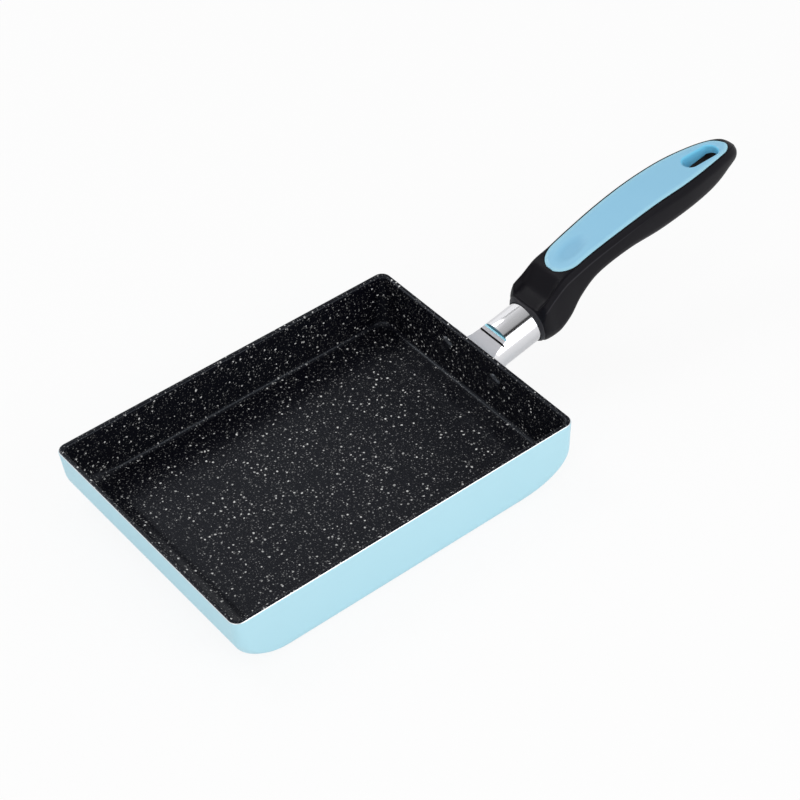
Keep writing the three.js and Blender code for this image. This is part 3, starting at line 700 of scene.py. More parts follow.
def stem_rings():
    rings = [stem_foot()]
    flat_places = [between(FLANGE_FACE, GROOVE_START, step / FLAT_STEPS) for step in range(FLAT_STEPS + 1)]
    sunk_places = [(along, 0) for along in flat_places]
    sunk_places += [(GROOVE_START, GROOVE_DEPTH), (GROOVE_END, GROOVE_DEPTH)]
    sunk_places += [(GROOVE_END, 0), (STEP - REFLECTION_TINT_REACH, 0)]
    for along, sunk in sunk_places:
        level = flat_height(along)
        rings.append(stem_ring(along, stem_radius(along), level, level - sunk))
    for ceiling in (STEP_HEIGHT, STEM_RADIUS - STEP_ROUND):
        rings.append(stem_ring(STEP, STEM_RADIUS, STEP_HEIGHT, ceiling))
    # The middle ring ends the soft shading of the step's round, so the rest of the bar mirrors evenly.
    bar = [(along, STEM_RADIUS) for along in (STEP + STEP_ROUND, SHOULDER - PLAIN_BAR, SHOULDER)]
    tang = [(SHOULDER, TANG_RADIUS), (TANG_END - TANG_CHAMFER, TANG_RADIUS),
            (TANG_END, TANG_RADIUS - TANG_CHAMFER)]
    for along, radius in bar + tang:
        rings.append(stem_ring(along, radius, STEP_HEIGHT * radius / STEM_RADIUS, radius))
    return rings


stem = new_mesh("stem", loft(stem_rings()), HANDLE_FRAME)
print("stem faces:", len(stem.data.polygons))

# %% [markdown]
# ## The flange
# The flange is a long plate with round ends that lies against the wall, with a rivet through each end. The
# stem is joined to it, and a face's place tells which finish it has.

# %% Flange and bracket
FLANGE_HEIGHT, FLANGE_ROUND = 14.0, 0.8
HAIR = 0.02
BRACKET_FINISHES = [POLISHED, BLASTED, PAINTED_GROOVE_SHADE, STEP_REFLECTION_TINT]


def long_ring(reach, radius):
    """Pairs of a place along and across a ring with straight sides and two round ends."""
    ring = []
    for i in range(ROUND_POINTS):
        angle = 2 * math.pi * (i + 0.5) / ROUND_POINTS
        end = math.copysign(reach, math.cos(angle))
        ring.append((end + radius * math.cos(angle), radius * math.sin(angle)))
    return ring


def flange_shape():
    """The plate, with its outer edge rounded."""
    profile = [(FIT, 0.0)]
    for angle in quarter_turn(ROUND_STEPS):
        along = FLANGE_FACE - FLANGE_ROUND * (1 - math.sin(angle))
        profile.append((along, FLANGE_ROUND * (1 - math.cos(angle))))
    profile.append((FLANGE_FACE, 2 * FLANGE_ROUND))
    return loft([[(along, y, z) for y, z in long_ring(RIVET_SPACING / 2, FLANGE_HEIGHT / 2 - inset)]
                 for along, inset in profile])


def bracket_finish(middle, normal):
    sunk = flat_height(middle.x) - middle.z
    on_flat = FLANGE_FACE < middle.x < STEP and abs(sunk) < HAIR
    on_step = abs(middle.x - STEP) < HAIR and middle.z > STEP_HEIGHT
    # The step face and the last part of the flat get the painted teal reflection.
    if on_step or (on_flat and middle.x > STEP - REFLECTION_TINT_REACH):
        return BRACKET_FINISHES.index(STEP_REFLECTION_TINT)
    # Faces inside the groove get the painted shade.
    if GROOVE_START - HAIR < middle.x < GROOVE_END + HAIR and HAIR < sunk < GROOVE_DEPTH + HAIR:
        return BRACKET_FINISHES.index(PAINTED_GROOVE_SHADE)
    return BRACKET_FINISHES.index(BLASTED if on_flat else POLISHED)


bracket = new_mesh("bracket", flange_shape(), WALL_FRAME)
combine(bracket, stem, "UNION")
cut(bracket, *[rivet_hole(side) for side in RIVET_SIDES.values()])
paint(bracket, bracket_finish, HANDLE_FRAME)
hand_over(bracket, "handle_bracket", "polished_stem", *BRACKET_FINISHES)

# %% [markdown]
# ## The grip's lines
# The grip starts as a ring round the stem, rises over the fingers, tucks in below and narrows to its tip.
# Stations along the stem say how its top, underside and sides stand off the stem, as shares of the grip's
# sizes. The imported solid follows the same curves.

# %% Grip stations
GRIP_LENGTH, TANG_COVER = 139.3, 12.8
GRIP_RISE, GRIP_TUCK, GRIP_SWELL = 13.3, 17.0, 2.65
GRIP_END = GRIP_FRONT + GRIP_LENGTH
HEAD_END = TANG_END + TANG_COVER
HEAD_STATIONS = [
    (0, 0.06, -0.038, 0.283, 0), (0.073, 0.177, -0.091, 0.623, 0), (0.183, 0.305, -0.115, 0.736, 0),
    (0.403, 0.508, -0.085, 0.547, 0), (0.696, 0.763, 0.138, 0.472, 0), (1, 0.838, 0.568, 0.396, 0),
]
BODY_STATIONS = [
    (0.107, 0.936, 0.926, 0.509, 0), (0.286, 1, 0.997, 0.811, 0), (0.464, 0.974, 0.826, 0.925, 0),
    (0.643, 0.808, 0.744, 0.849, 0), (0.786, 0.62, 0.679, 0.17, 0), (0.893, 0.425, 0.732, 0, 0.181),
    (0.964, 0.214, 0.815, 0, 0.442), (1, -0.056, 0.885, 0, 0.777),
]
HALVINGS = 24


def station(start, end, at, rise, tuck, swell, narrow):
    """Place along the stem, and the grip's top, underside and half breadth there."""
    half = STEM_RADIUS * (1 - narrow) + swell * GRIP_SWELL
    top = STEM_RADIUS + rise * GRIP_RISE
    return Vector((between(start, end, at), top, tuck * GRIP_TUCK - STEM_RADIUS, half))


stations = [station(GRIP_FRONT, HEAD_END, *values) for values in HEAD_STATIONS]
stations += [station(HEAD_END, GRIP_END, *values) for values in BODY_STATIONS]


def grip_at(share):
    """Place, top, underside and half breadth on a smooth curve through the stations."""
    last = len(stations) - 1
    index = min(int(share * last), last - 1)
    t = share * last - index
    a, b = stations[index], stations[index + 1]
    before = stations[index - 1] if index else 2 * a - b
    after = stations[index + 2] if index + 2 <= last else 2 * b - a
    leaving, arriving = (b - before) / 2, (after - a) / 2
    square, cube = t * t, t * t * t
    return (a * (2 * cube - 3 * square + 1) + leaving * (cube - 2 * square + t)
            + b * (3 * square - 2 * cube) + arriving * (cube - square))


def grip_near(along):
    """The top, underside and half breadth at a place along the stem, found by halving."""
    low, high = 0.0, 1.0
    for _ in range(HALVINGS):
        middle = (low + high) / 2
        if grip_at(middle)[0] < along:
            low = middle
        else:
            high = middle
    return grip_at(low)[1:]


def grip_top(along):
    return grip_near(along)[0]


print("grip stations:", len(stations))

# %% [markdown]
# ## The thumb hollow
# In front of the inlay the top is scooped out for the thumb. The scoop's floor leaves the mouth almost in
# line with the stem, turns up into a steep wall below the inlay and rises at both sides. It is blended with
# the top, so its edges are soft, as a mould maker would leave them.

# %% Hollow
SCOOP_START = STEM_RADIUS + 2 * FIT
SCOOP_LENGTH, SCOOP_HALF_WIDTH, SCOOP_EDGE = 10.0, 7.5, 0.6
SCOOP_SLOPE, SCOOP_WALL_SLOPE = math.tan(math.radians(5)), 1.0
SCOOP_SIDE_RISE, SCOOP_TURN = 0.35, 2.4


def soft_excess(value, softness):
    """The value where it is above nothing, with a soft turn."""
    return (value + math.sqrt(value * value + softness * softness)) / 2


def scoop_floor(along, y):
    """The height of the scoop's floor over the stem's axis."""
    past = along - GRIP_FRONT
    climb = soft_excess(past - SCOOP_LENGTH, SCOOP_TURN)
    aside = max(abs(y) - SCOOP_HALF_WIDTH, 0)
    return SCOOP_START + past * SCOOP_SLOPE + climb * SCOOP_WALL_SLOPE + aside * aside * SCOOP_SIDE_RISE


def hollowed(along, y, z):
    """The height of a point on the grip, lowered to the scoop's floor where that is deeper."""
    if z < 0:
        return z
    return z - soft_excess(z - scoop_floor(along, y), SCOOP_EDGE)


print("scoop ends at", round(SCOOP_LENGTH, 1), "mm from the mouth")

# %% [markdown]
# ## Rounded sections
# A section of the grip is a polygon with rounded corners: a crisp round at each shoulder's lower edge, a
# soft one above it and a wide one at the belly. At the mouth the rounds grow until the section is a ring.
# Points beside each crease keep its painted highlight narrow.

# %% Rounded corners
FILLET_STEPS = 6
CREASE_MARGIN = 0.5


def rounded(corners):
    """A list of arcs, one for each corner (y, z, radius) of a closed outline."""
    arcs = []
    for i, (y, z, radius) in enumerate(corners):
        corner = Vector((y, z))
        back = (Vector(corners[i - 1][:2]) - corner).normalized()
        ahead = (Vector(corners[(i + 1) % len(corners)][:2]) - corner).normalized()
        half_angle = back.angle(ahead) / 2
        centre = corner + (back + ahead).normalized() * radius / math.sin(half_angle)
        start = corner + back * radius / math.tan(half_angle) - centre
        finish_point = corner + ahead * radius / math.tan(half_angle) - centre
        sweep = start.angle_signed(finish_point)
        turns = [Matrix.Rotation(-sweep * step / FILLET_STEPS, 2) for step in range(FILLET_STEPS + 1)]
        arcs.append([centre + turn @ start for turn in turns])
    return arcs


def beside(point, towards):
    """A point next to the crease, on the way to the following point."""
    way = towards - point
    return point + way * min(0.5, CREASE_MARGIN / max(way.length, CREASE_MARGIN))


# %% Grip sections
SHOULDER_WIDTH, SHOULDER_DROP, SHOULDER_SHARE, SHOULDER_RUN = 1.6, 3.5, 1 / 3, 5.0
RING_SHOULDER = 2 - math.sqrt(2)
BELLY_RADIUS, BELLY_RUN = 8.0, 12.0
CREASE_ROUND, CREASE_FADED, CREASE_FADE_END, TOP_ROUND = 0.4, 7.0, 95.0, 1.6
MOUTH_SHARE, CREASE_HALF_TURN = 0.95, math.pi / 8
BEAD_AT, BEAD_GROOVE, BEAD_REACH = 1.7, 0.35, 0.4
TOP_STEPS = 14


def shoulder_drop(top, bottom, drop=SHOULDER_DROP):
    return min(drop, (top - bottom) * SHOULDER_SHARE)


def grip_section(along, inset=0.0):
    """One ring of the grip, drawn in all round by an inset at the lip and the tip."""
    past = along - GRIP_FRONT
    inset += BEAD_GROOVE * math.exp(-((past - BEAD_AT) / BEAD_REACH) ** 2)
    top, bottom, half = grip_near(along)
    top, bottom, half = top - inset, bottom + inset, half - inset
    slimness = min(1, half / STEM_RADIUS)
    sharpness = held(past / SHOULDER_RUN)
    drop = shoulder_drop(top, bottom, between(RING_SHOULDER * half, SHOULDER_DROP, sharpness))
    width = min(between(RING_SHOULDER * half, SHOULDER_WIDTH, sharpness), half * 2 * SHOULDER_SHARE)
    crease = between(CREASE_ROUND, CREASE_FADED, held(past / CREASE_FADE_END) ** 2) * slimness
    crease = between(MOUTH_SHARE * half, crease, sharpness)
    soft = between(MOUTH_SHARE * half, TOP_ROUND * slimness, sharpness)
    belly = between(half, BELLY_RADIUS, held(past / BELLY_RUN))
    belly = min(belly, MOUTH_SHARE * half, top - drop - bottom - crease * math.tan(CREASE_HALF_TURN))
    right_crease, right_top, left_top, left_crease, left_belly, right_belly = rounded([
        (half, top - drop, crease), (half - width, top, soft), (width - half, top, soft),
        (-half, top - drop, crease), (-half, bottom, belly), (half, bottom, belly),
    ])
    level = [right_top[-1].lerp(left_top[0], step / TOP_STEPS) for step in range(1, TOP_STEPS)]
    outline = [beside(right_crease[0], right_belly[-1])] + right_crease
    outline += [beside(right_crease[-1], right_top[0])] + right_top + level + left_top
    outline += [beside(left_crease[0], left_top[-1])] + left_crease
    outline += [beside(left_crease[-1], left_belly[0])] + left_belly + right_belly
    return [(along, y, hollowed(along, y, z + inset) - inset) for y, z in outline]


print("section points:", len(grip_section(HEAD_END)))

# %% [markdown]
# ## The grip's body
# The rings run from the round lip at the stem to the tip, closer together at the ends and behind the bead.

# %% Grip body
LIP_ROUND, TIP_ROUND, END_STEPS = 0.35, 1.2, 6
BEAD_RINGS, BEAD_STEP = 14, 0.18
GRIP_RINGS, CROWDING = 110, 0.12


def grip_rings():
    angles = quarter_turn(END_STEPS)[:-1]
    first = GRIP_FRONT + LIP_ROUND
    dense_end = first + BEAD_RINGS * BEAD_STEP
    last = GRIP_END - TIP_ROUND
    shares = [i / GRIP_RINGS for i in range(GRIP_RINGS + 1)]
    places = [(GRIP_FRONT + LIP_ROUND * (1 - math.cos(angle)), LIP_ROUND * (1 - math.sin(angle)))
              for angle in angles]
    places += [(first + i * BEAD_STEP, 0.0) for i in range(BEAD_RINGS)]
    places += [(between(dense_end, last, share - CROWDING * math.sin(2 * math.pi * share)), 0.0)
               for share in shares]
    places += [(last + TIP_ROUND * math.sin(angle), TIP_ROUND * (1 - math.cos(angle)))
               for angle in angles[1:]]
    return [grip_section(along, inset) for along, inset in places]


grip = new_mesh("grip_body", loft(grip_rings()), HANDLE_FRAME)
print("grip faces:", len(grip.data.polygons))

# %% [markdown]
# ## The inlay's outline
# The inlay is a blue plate let into the grip's top. Its outline follows the grip's breadth and is rounded at
# both ends. The bed in the grip is the same outline, grown by a clearance.

# %% Inlay outline and bed
INLAY_START, INLAY_TIP_GAP, INLAY_MARGIN = 19.6, 4.5, 2.4
INLAY_THICKNESS, INLAY_PROUD, INLAY_BLUNT = 2.4, 0.3, 0.25
INLAY_FRONT_ROUND, INLAY_BACK_ROUND = 11.0, 6.0
PLATE_ROWS, BED_ROWS = 130, 60


def inlay_ends(clearance):
    return GRIP_FRONT + INLAY_START - clearance, GRIP_END - INLAY_TIP_GAP + clearance


def inlay_reach(along, clearance):
    """Half the plate's breadth at a place along the stem."""
    start, end = inlay_ends(clearance)
    from_front = held((along - start) / INLAY_FRONT_ROUND)
    from_back = held((end - along) / INLAY_BACK_ROUND)
    rounding = math.sqrt(1 - (1 - from_front) ** 2) * math.sqrt(1 - (1 - from_back) ** 2)
    return (grip_near(along)[2] - INLAY_MARGIN + clearance) * rounding


def inlay_rows(clearance, rows):
    """Places along the stem, closer together near the round ends, with half the breadth at each."""
    start, end = inlay_ends(clearance)
    shares = [(1 - math.cos(i / rows * math.pi)) / 2 for i in range(rows + 1)]
    places = [between(start + INLAY_BLUNT, end - INLAY_BLUNT, share) for share in shares]
    return [(along, inlay_reach(along, clearance)) for along in places]


def inlay_bed():
    rings = []
    for along, reach in inlay_rows(FIT, BED_ROWS):
        top = grip_top(along)
        low, high = top - INLAY_THICKNESS - FIT, top + INLAY_PROUD + OVERCUT
        corners = [(reach, low), (reach, high), (-reach, high), (-reach, low)]
        rings.append([(along, y, z) for y, z in corners])
    return loft(rings)


plate_edge = inlay_rows(0.0, PLATE_ROWS)
cut(grip, new_mesh("bed", inlay_bed(), HANDLE_FRAME))
print("inlay rows:", len(plate_edge))

# %% [markdown]
# ## The inlay's face
# The plate has a rolled edge and a shallow dish for the thumb. It could be sculpted, but a sum is exact:
# each point is lowered by how near it lies to the outline and to the dish.

# %% Inlay plate
EDGE_ROLL, EDGE_DROP = 2.2, 0.5
DISH_CENTRE, DISH_HALF_LENGTH, DISH_HALF_WIDTH = 14.5, 11.5, 6.0
DISH_DEPTH, DISH_FLAT = 0.9, 0.35
INLAY_COLUMNS = 36


def smooth_fall(value, start, end):
    """One up to the start, nothing beyond the end, and a smooth fall between."""
    share = held((end - value) / (end - start))
    return share * share * (3 - 2 * share)


def edge_closeness(along, y):
    """One at the plate's outline, falling to nothing where the rolled edge ends."""
    away = min(math.hypot(x - along, reach - abs(y)) for x, reach in plate_edge)
    return max(0, 1 - away / EDGE_ROLL)


def dish_at(along, y):
    """One in the middle of the thumb dish, falling to nothing at its edge."""
    past = along - GRIP_FRONT - INLAY_START - DISH_CENTRE
    return smooth_fall(math.hypot(past / DISH_HALF_LENGTH, y / DISH_HALF_WIDTH), DISH_FLAT, 1.0)


def inlay_ring(along, reach):
    """The plate's face from side to side at a place along the stem, and its underside back again."""
    top = grip_top(along)
    sides = [reach * math.sin((1 - 2 * i / INLAY_COLUMNS) * math.pi / 2) for i in range(INLAY_COLUMNS + 1)]
    face = []
    for y in sides:
        sunk = EDGE_DROP * edge_closeness(along, y) ** 2 + DISH_DEPTH * dish_at(along, y)
        face.append((along, y, top + INLAY_PROUD - sunk))
    return face + [(along, y, top - INLAY_THICKNESS) for y in reversed(sides)]


inlay = new_mesh("inlay_plate", loft([inlay_ring(*row) for row in plate_edge]), HANDLE_FRAME)
print("inlay faces:", len(inlay.data.polygons))

# %% [markdown]
# ## The hang slot
# The slot goes through the inlay, its collar and the grip. Its upper edge is rolled over, so the cutter
# flares out there and follows the inlay's curved face.

# %% Slot and collar
SLOT_FROM_TIP, SLOT_LENGTH, SLOT_WIDTH = 21.3, 20.5, 8.0
COLLAR_WALL, COLLAR_DEPTH = 1.0, 7.2
SLOT_ROUND, FLARE_TURN, FLARE_SPARE = 1.9, math.radians(80), 1.6
SLOT_CENTRE = GRIP_END - SLOT_FROM_TIP
SLOT_REACH = (SLOT_LENGTH - SLOT_WIDTH) / 2
SLOT_TOP = grip_top(SLOT_CENTRE)
COLLAR_FOOT = SLOT_TOP - COLLAR_DEPTH
BELOW, ABOVE = -2 * STEM_RADIUS, 4 * STEM_RADIUS


def slot_ring(grow, height):
    """A slot-shaped ring, grown all round. The height is a function of the place along the stem."""
    outline = [(SLOT_CENTRE + x, y) for x, y in long_ring(SLOT_REACH, SLOT_WIDTH / 2 + grow)]
    return [(along, y, height(along)) for along, y in outline]


def level_ring(grow, height):
    return slot_ring(grow, lambda along: height)


def slot_block(grow, low, high):
    return new_mesh("slot", loft([level_ring(grow, low), level_ring(grow, high)]), HANDLE_FRAME)


def flared_slot():
    rings = [level_ring(0, COLLAR_FOOT - OVERCUT)]
    for step in range(DOME_STEPS + 1):
        angle = step / DOME_STEPS * FLARE_TURN
        sunk = SLOT_ROUND * (1 - math.sin(angle)) - INLAY_PROUD
        rings.append(slot_ring(SLOT_ROUND * (1 - math.cos(angle)), lambda along: grip_top(along) - sunk))
    rings.append(level_ring(SLOT_ROUND * FLARE_SPARE, ABOVE))
    return new_mesh("slot", loft(rings), HANDLE_FRAME)


combine(inlay, slot_block(COLLAR_WALL, COLLAR_FOOT, SLOT_TOP - INLAY_THICKNESS / 2), "UNION")
cut(inlay, flared_slot())
cut(grip, slot_block(COLLAR_WALL + FIT, COLLAR_FOOT - FIT, ABOVE), slot_block(0, BELOW, ABOVE))
print("slot cut at", round(SLOT_CENTRE, 1), "mm along the stem")

# %% [markdown]
# ## Painted highlight and shade on the inlay
# The rolled edge gets a painted highlight, the dish gets painted shade and the slot gets a deeper blue of
# painted shade. Values stored at the points say where the first two lie, and the material reads them.

# %% Marks on the inlay
SLOT_SHADE_ROUND = 1 / 3


def mark(piece, name, rule):
    """Stores a value from 0 to 1 at each point of a piece, for its material to read."""
    to_handle = HANDLE_FRAME.inverted()
    values = piece.data.attributes.new(name, "FLOAT", "POINT").data
    for vertex, value in zip(piece.data.vertices, values):
        value.value = rule(*(to_handle @ (vertex.co / MM)))


# Faces of the slot and part of its rolled rim get the blue deepened with painted shade.
def in_slot(middle, normal):
    from_line = math.hypot(max(abs(middle.x - SLOT_CENTRE) - SLOT_REACH, 0), middle.y)
    return int(from_line < SLOT_WIDTH / 2 + SLOT_ROUND * SLOT_SHADE_ROUND)


mark(inlay, "painted_edge_highlight", lambda along, y, z: edge_closeness(along, y))
mark(inlay, "painted_dish_shade", lambda along, y, z: dish_at(along, y))
paint(inlay, in_slot, HANDLE_FRAME)
hand_over(inlay, "grip_inlay", "blue_inlay", BLUE, SLOT_BLUE_AND_SHADE)

# %% [markdown]
# ## The screw
# One screw with a cross recess goes through a washer into the tang from below. The photograph hides it, but
# a hand that turns the pan over finds it. It is a turned solid, and two bars cut the cross.

# %% Screw
SCREW_ALONG = GRIP_FRONT + 8.5
SCREW_SHANK, SCREW_BITE = 5.0, 3.5
SCREW_HEAD, SCREW_HEAD_HEIGHT, SCREW_EDGE = 8.6, 2.4, 0.6
CROSS_WIDTH, CROSS_MARGIN, CROSS_FLOOR, CROSS_DRAFT = 1.4, 1.8, 1.0, 0.15
SEAT_WALL = 1.4
WASHER, WASHER_THICKNESS, WASHER_EDGE = 9.6, 0.8, 0.2
SEAT = -TANG_RADIUS - FIT - SEAT_WALL
WASHER_TOP = SEAT - FIT
WASHER_FOOT = WASHER_TOP - WASHER_THICKNESS
HEAD_TOP = WASHER_FOOT - FIT
HEAD_FOOT = HEAD_TOP - SCREW_HEAD_HEIGHT


def about_screw(name, profile):
    """A round mesh about the screw's line, from pairs of a height and a radius."""
    return new_mesh(name, upright(SCREW_ALONG, profile), HANDLE_FRAME)


def cross_bar(length, width):
    """One bar of the cross recess, narrower at its floor than at its mouth."""
    rings = []
    for height, grow in [(HEAD_FOOT - OVERCUT, CROSS_DRAFT), (HEAD_TOP - CROSS_FLOOR, -CROSS_DRAFT)]:
        x, y = length / 2 + grow, width / 2 + grow
        corners = [(x, y), (-x, y), (-x, -y), (x, -y)]
        rings.append([(SCREW_ALONG + across, side, height) for across, side in corners])
    return new_mesh("cross", loft(rings), HANDLE_FRAME)


head, shank = SCREW_HEAD / 2, SCREW_SHANK / 2
screw = about_screw("grip_screw_dressed", [
    (HEAD_FOOT, head - 2 * SCREW_EDGE), (HEAD_FOOT + SCREW_EDGE / 4, head - SCREW_EDGE),
    (HEAD_FOOT + SCREW_EDGE, head), (HEAD_TOP, head), (HEAD_TOP, shank),
    (SCREW_BITE - SCREW_EDGE, shank), (SCREW_BITE, shank - SCREW_EDGE),
])
cross_length = SCREW_HEAD - 2 * CROSS_MARGIN
cut(screw, cross_bar(cross_length, CROSS_WIDTH), cross_bar(CROSS_WIDTH, cross_length))
hand_over(screw, "grip_screw", "plain_steel", STEEL)

# %% [markdown]
# ## Washer and socket
# The washer spreads the screw's force. The grip gets a stepped socket for the stem and its tang, a way for
# the shank and a wider one for head and washer.

# %% Washer and socket
rim, edge = WASHER / 2, WASHER_EDGE
washer = about_screw("screw_washer_dressed", [
    (WASHER_FOOT, rim - edge), (WASHER_FOOT + edge, rim), (WASHER_TOP - edge, rim), (WASHER_TOP, rim - edge),
])
hole = shank + FIT
cut(washer, about_screw("hole", [(WASHER_FOOT - OVERCUT, hole), (WASHER_TOP + OVERCUT, hole)]))
hand_over(washer, "screw_washer", "plain_steel", STEEL)

socket = turned([(GRIP_FRONT - OVERCUT, STEM_RADIUS + FIT), (SHOULDER + FIT, STEM_RADIUS + FIT),
                 (SHOULDER + FIT, TANG_RADIUS + FIT), (TANG_END + FIT, TANG_RADIUS + FIT)])
cut(grip, new_mesh("socket", socket, HANDLE_FRAME))
cut(grip, about_screw("shank_way", [(SEAT - OVERCUT, hole), (0, hole)]))
cut(grip, about_screw("head_way", [(BELOW, rim + FIT), (SEAT, rim + FIT)]))
print("socket and screw ways cut")

# %% [markdown]
# ## Painted highlight on the grip
# The shoulder's crease and the bead at the mouth get a painted grey highlight, strongest near the mouth.

# %% Marks on the grip
HIGHLIGHT_REACH, HIGHLIGHT_FADE = 0.3, 30.0


def painted_crease_highlight(along, y, z):
    """How much painted highlight a point of the grip gets: most along the shoulder's edge, near the mouth.
    """
    top, bottom, half = grip_near(along)
    edge_height = top - shoulder_drop(top, bottom)
    away = math.hypot(abs(y) - half, z - edge_height) / HIGHLIGHT_REACH
    past = along - GRIP_FRONT
    fade = held(past / SHOULDER_RUN) * smooth_fall(past, HIGHLIGHT_FADE, CREASE_FADE_END)
    return max(math.exp(-away * away) * fade, smooth_fall(past, BEAD_AT - BEAD_REACH, BEAD_AT))


mark(grip, "painted_crease_highlight", painted_crease_highlight)
hand_over(grip, "grip", "black_grip", BLACK)

# %% [markdown]
# ## The studio
# The photograph is a cut-out on white: a pale floor, a white surround and soft light. Floor and world show
# white to the camera and in mirrors, but a share of the floor stays plain for a faint shadow. It lies a hair
# below the base, so that the two faces never fight.

# %% Floor
FLOOR_SIZE, FLOOR_GAP = 6000.0, 0.2
FLOOR_COLOUR = (0.88, 0.88, 0.88, 1)
SHADOW_SHARE, MIRRORED_WHITE = 0.12, 0.2


def bare_material(name):
    """A material with an empty graph."""
    material = bpy.data.materials.new(name)
    material.use_nodes = True
    material.node_tree.nodes.clear()
    return material, material.node_tree


def ray_kinds(tree):
    """One for rays from the camera, and one for rays from mirrors or through glass."""
    path = add(tree, "LightPath").outputs
    mirrored = math_node(tree, "MAXIMUM", path["Is Glossy Ray"], path["Is Transmission Ray"])
    return path["Is Camera Ray"], mirrored


def floor_material():
    material, tree = bare_material("pale_floor")
    plain = add(tree, "BsdfDiffuse", {"Color": FLOOR_COLOUR})
    white = add(tree, "Emission", {"Strength": 1.0})
    camera_ray, mirrored_ray = ray_kinds(tree)
    straight = math_node(tree, "MULTIPLY", camera_ray, 1 - SHADOW_SHARE)
    mirrored = math_node(tree, "MULTIPLY", mirrored_ray, MIRRORED_WHITE)
    share = math_node(tree, "MAXIMUM", straight, mirrored)
    both = add(tree, "MixShader", {0: share, 1: plain.outputs[0], 2: white.outputs[0]})
    add(tree, "OutputMaterial", {"Surface": both.outputs[0]})
    return material


def level_sheet(name, corners, height, material):
    """A flat sheet that faces the side from which its corners run anticlockwise."""
    sheet = new_mesh(name, ([(x, y, height) for x, y in corners], [(0, 1, 2, 3)]))
    sheet.data.materials.append(material)
    return sheet


half = FLOOR_SIZE / 2
floor_corners = [(-half, -half), (half, -half), (half, half), (-half, half)]
floor = level_sheet("floor", floor_corners, -FLOOR_GAP, floor_material())
print("floor:", FLOOR_SIZE * MM, "m wide")

# %% World
WORLD_LIGHT = 0.71
world = bpy.data.worlds.new("studio")
bpy.context.scene.world = world
world.use_nodes = True
background = world.node_tree.nodes["Background"]
seen = math_node(world.node_tree, "MAXIMUM", *ray_kinds(world.node_tree))
strength = remap(world.node_tree, seen, 0.0, 1.0, WORLD_LIGHT, 1.0)
world.node_tree.links.new(strength, background.inputs["Strength"])
background.inputs["Color"].default_value = (1, 1, 1, 1)
print("world light:", WORLD_LIGHT)

# %% [markdown]
# ## Sheets to mirror
# Shiny things look like what they mirror, so a photographer hangs sheets over them. A silk with a soft
# gradient and a dark band gives the stem its tone and its dark line, a bright card lights the flat and the
# thumb hollow, and three flags give the middle of the pan's floor its sheen. Only mirrored rays see them.

# %% Sheets
FLAG_FRONT, FLAG_BACK, FLAG_HEIGHT = 600, 1700, 1140
SILK_TONES = [(-900, 1.0), (-870, 0.02), (-560, 0.02), (-430, 0.41), (-100, 0.5), (450, 0.61),
              (1000, 0.82), (1700, 0.95)]
CARD_TONES = [(300, 0.58), (700, 0.8), (850, 2.1), (1000, 6.0), (2200, 3.0)]
FLAGS = {"grey_flag": (450, 570, 0.3), "pale_flag": (570, 710, 1.6), "black_flag": (710, 1400, 0.02)}


def sheet_material(name, tones):
    """A glowing sheet whose brightness changes along Y, from pairs of a place and a tone."""
    material, tree = bare_material(name)
    across = add(tree, "SeparateXYZ", {"Vector": object_place(tree)}).outputs["Y"]
    first, last = tones[0][0], tones[-1][0]
    peak = max(tone for _, tone in tones)
    share = remap(tree, across, first * MM, last * MM, 0.0, 1.0)
    ramp = add(tree, "ValToRGB", {"Fac": share})
    stops = ramp.color_ramp.elements
    while len(stops) < len(tones):
        stops.new(0.5)
    for stop, (y, tone) in zip(stops, tones):
        stop.position = (y - first) / (last - first)
        stop.color = (tone / peak, tone / peak, tone / peak, 1)
    glow = add(tree, "Emission", {"Color": ramp.outputs["Color"], "Strength": peak})
    add(tree, "OutputMaterial", {"Surface": glow.outputs[0]})
    return material


def hang_sheet(name, left, right, height, tones):
    """A sheet over the pan that only mirrored rays see."""
    front, back = tones[0][0], tones[-1][0]
    corners = [(left, front), (left, back), (right, back), (right, front)]
    sheet = level_sheet(name, corners, height, sheet_material(name, tones))
    sheet.visible_camera = False
    sheet.visible_diffuse = False
    sheet.visible_shadow = False
    sheet.visible_transmission = False


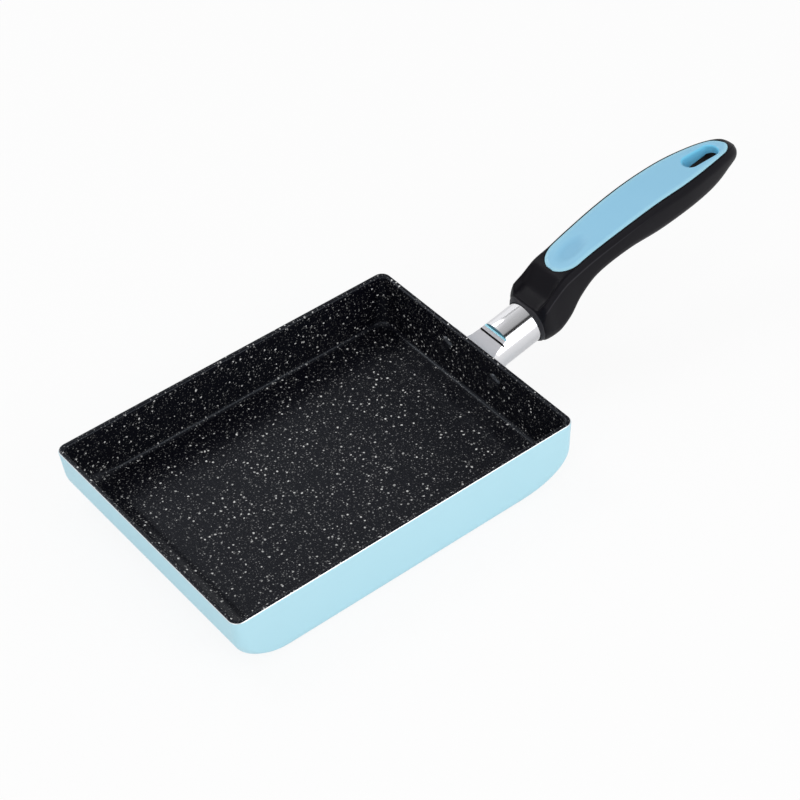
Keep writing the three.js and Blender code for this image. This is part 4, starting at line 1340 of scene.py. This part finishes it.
hang_sheet("silk", -2000, 2500, 1200, SILK_TONES)
hang_sheet("card", -450, 180, 1150, CARD_TONES)
for name, (left, right, tone) in FLAGS.items():
    hang_sheet(name, left, right, FLAG_HEIGHT, [(FLAG_FRONT, tone), (FLAG_BACK, tone)])
print("sheets: silk, card and", sorted(FLAGS))

# %% [markdown]
# ## Lamps
# A large key lamp stands to the right of the camera, a fill lamp to its left and a smaller one behind the
# pan. All are wide and weak, so shadows are soft and colours render about as they are written.

# %% Lamps
LAMP_AIM = Vector((0.05, 0, 0.02))
LAMPS = {
    "key": (Vector((0.42, -1.15, 0.6)), 0.8, 1.1, 4.8),
    "fill": (Vector((-1.05, -0.5, 0.7)), 0.8, 0.8, 2.4),
    "back": (Vector((-0.2, 0.85, 1.2)), 0.5, 0.5, 2.4),
}
for name, (place, width, height, power) in LAMPS.items():
    lamp = bpy.data.lights.new(name, "AREA")
    lamp.shape = "RECTANGLE"
    lamp.size = width
    lamp.size_y = height
    lamp.energy = power
    holder = bpy.data.objects.new(name, lamp)
    holder.location = place
    holder.rotation_euler = (LAMP_AIM - place).to_track_quat("-Z", "Y").to_euler()
    bpy.context.scene.collection.objects.link(holder)
print("lamps:", sorted(LAMPS))

# %% [markdown]
# ## The camera
# The photograph was taken from above the front corner with a long lens. Place and aim were fitted to the
# rim's corners, and a small roll levels the picture as the photographer held it.

# %% Camera
EYE = Vector((-415.66, -631.30, 761.31))
AIM = Vector((43.56, -7.26, PAN_HEIGHT))
ROLL = math.radians(-3.13)
LENS, SENSOR = 104.34, 36.0
camera_data = bpy.data.cameras.new("camera")
camera_data.lens = LENS
camera_data.sensor_width = SENSOR
camera = bpy.data.objects.new("camera", camera_data)
camera.location = EYE * MM
camera.rotation_mode = "QUATERNION"
camera.rotation_quaternion = (AIM - EYE).to_track_quat("-Z", "Y") @ Quaternion((0, 0, 1), ROLL)
bpy.context.scene.collection.objects.link(camera)
bpy.context.scene.camera = camera
bpy.context.scene.view_settings.view_transform = "Standard"
print("camera at", [round(value) for value in EYE], "mm")
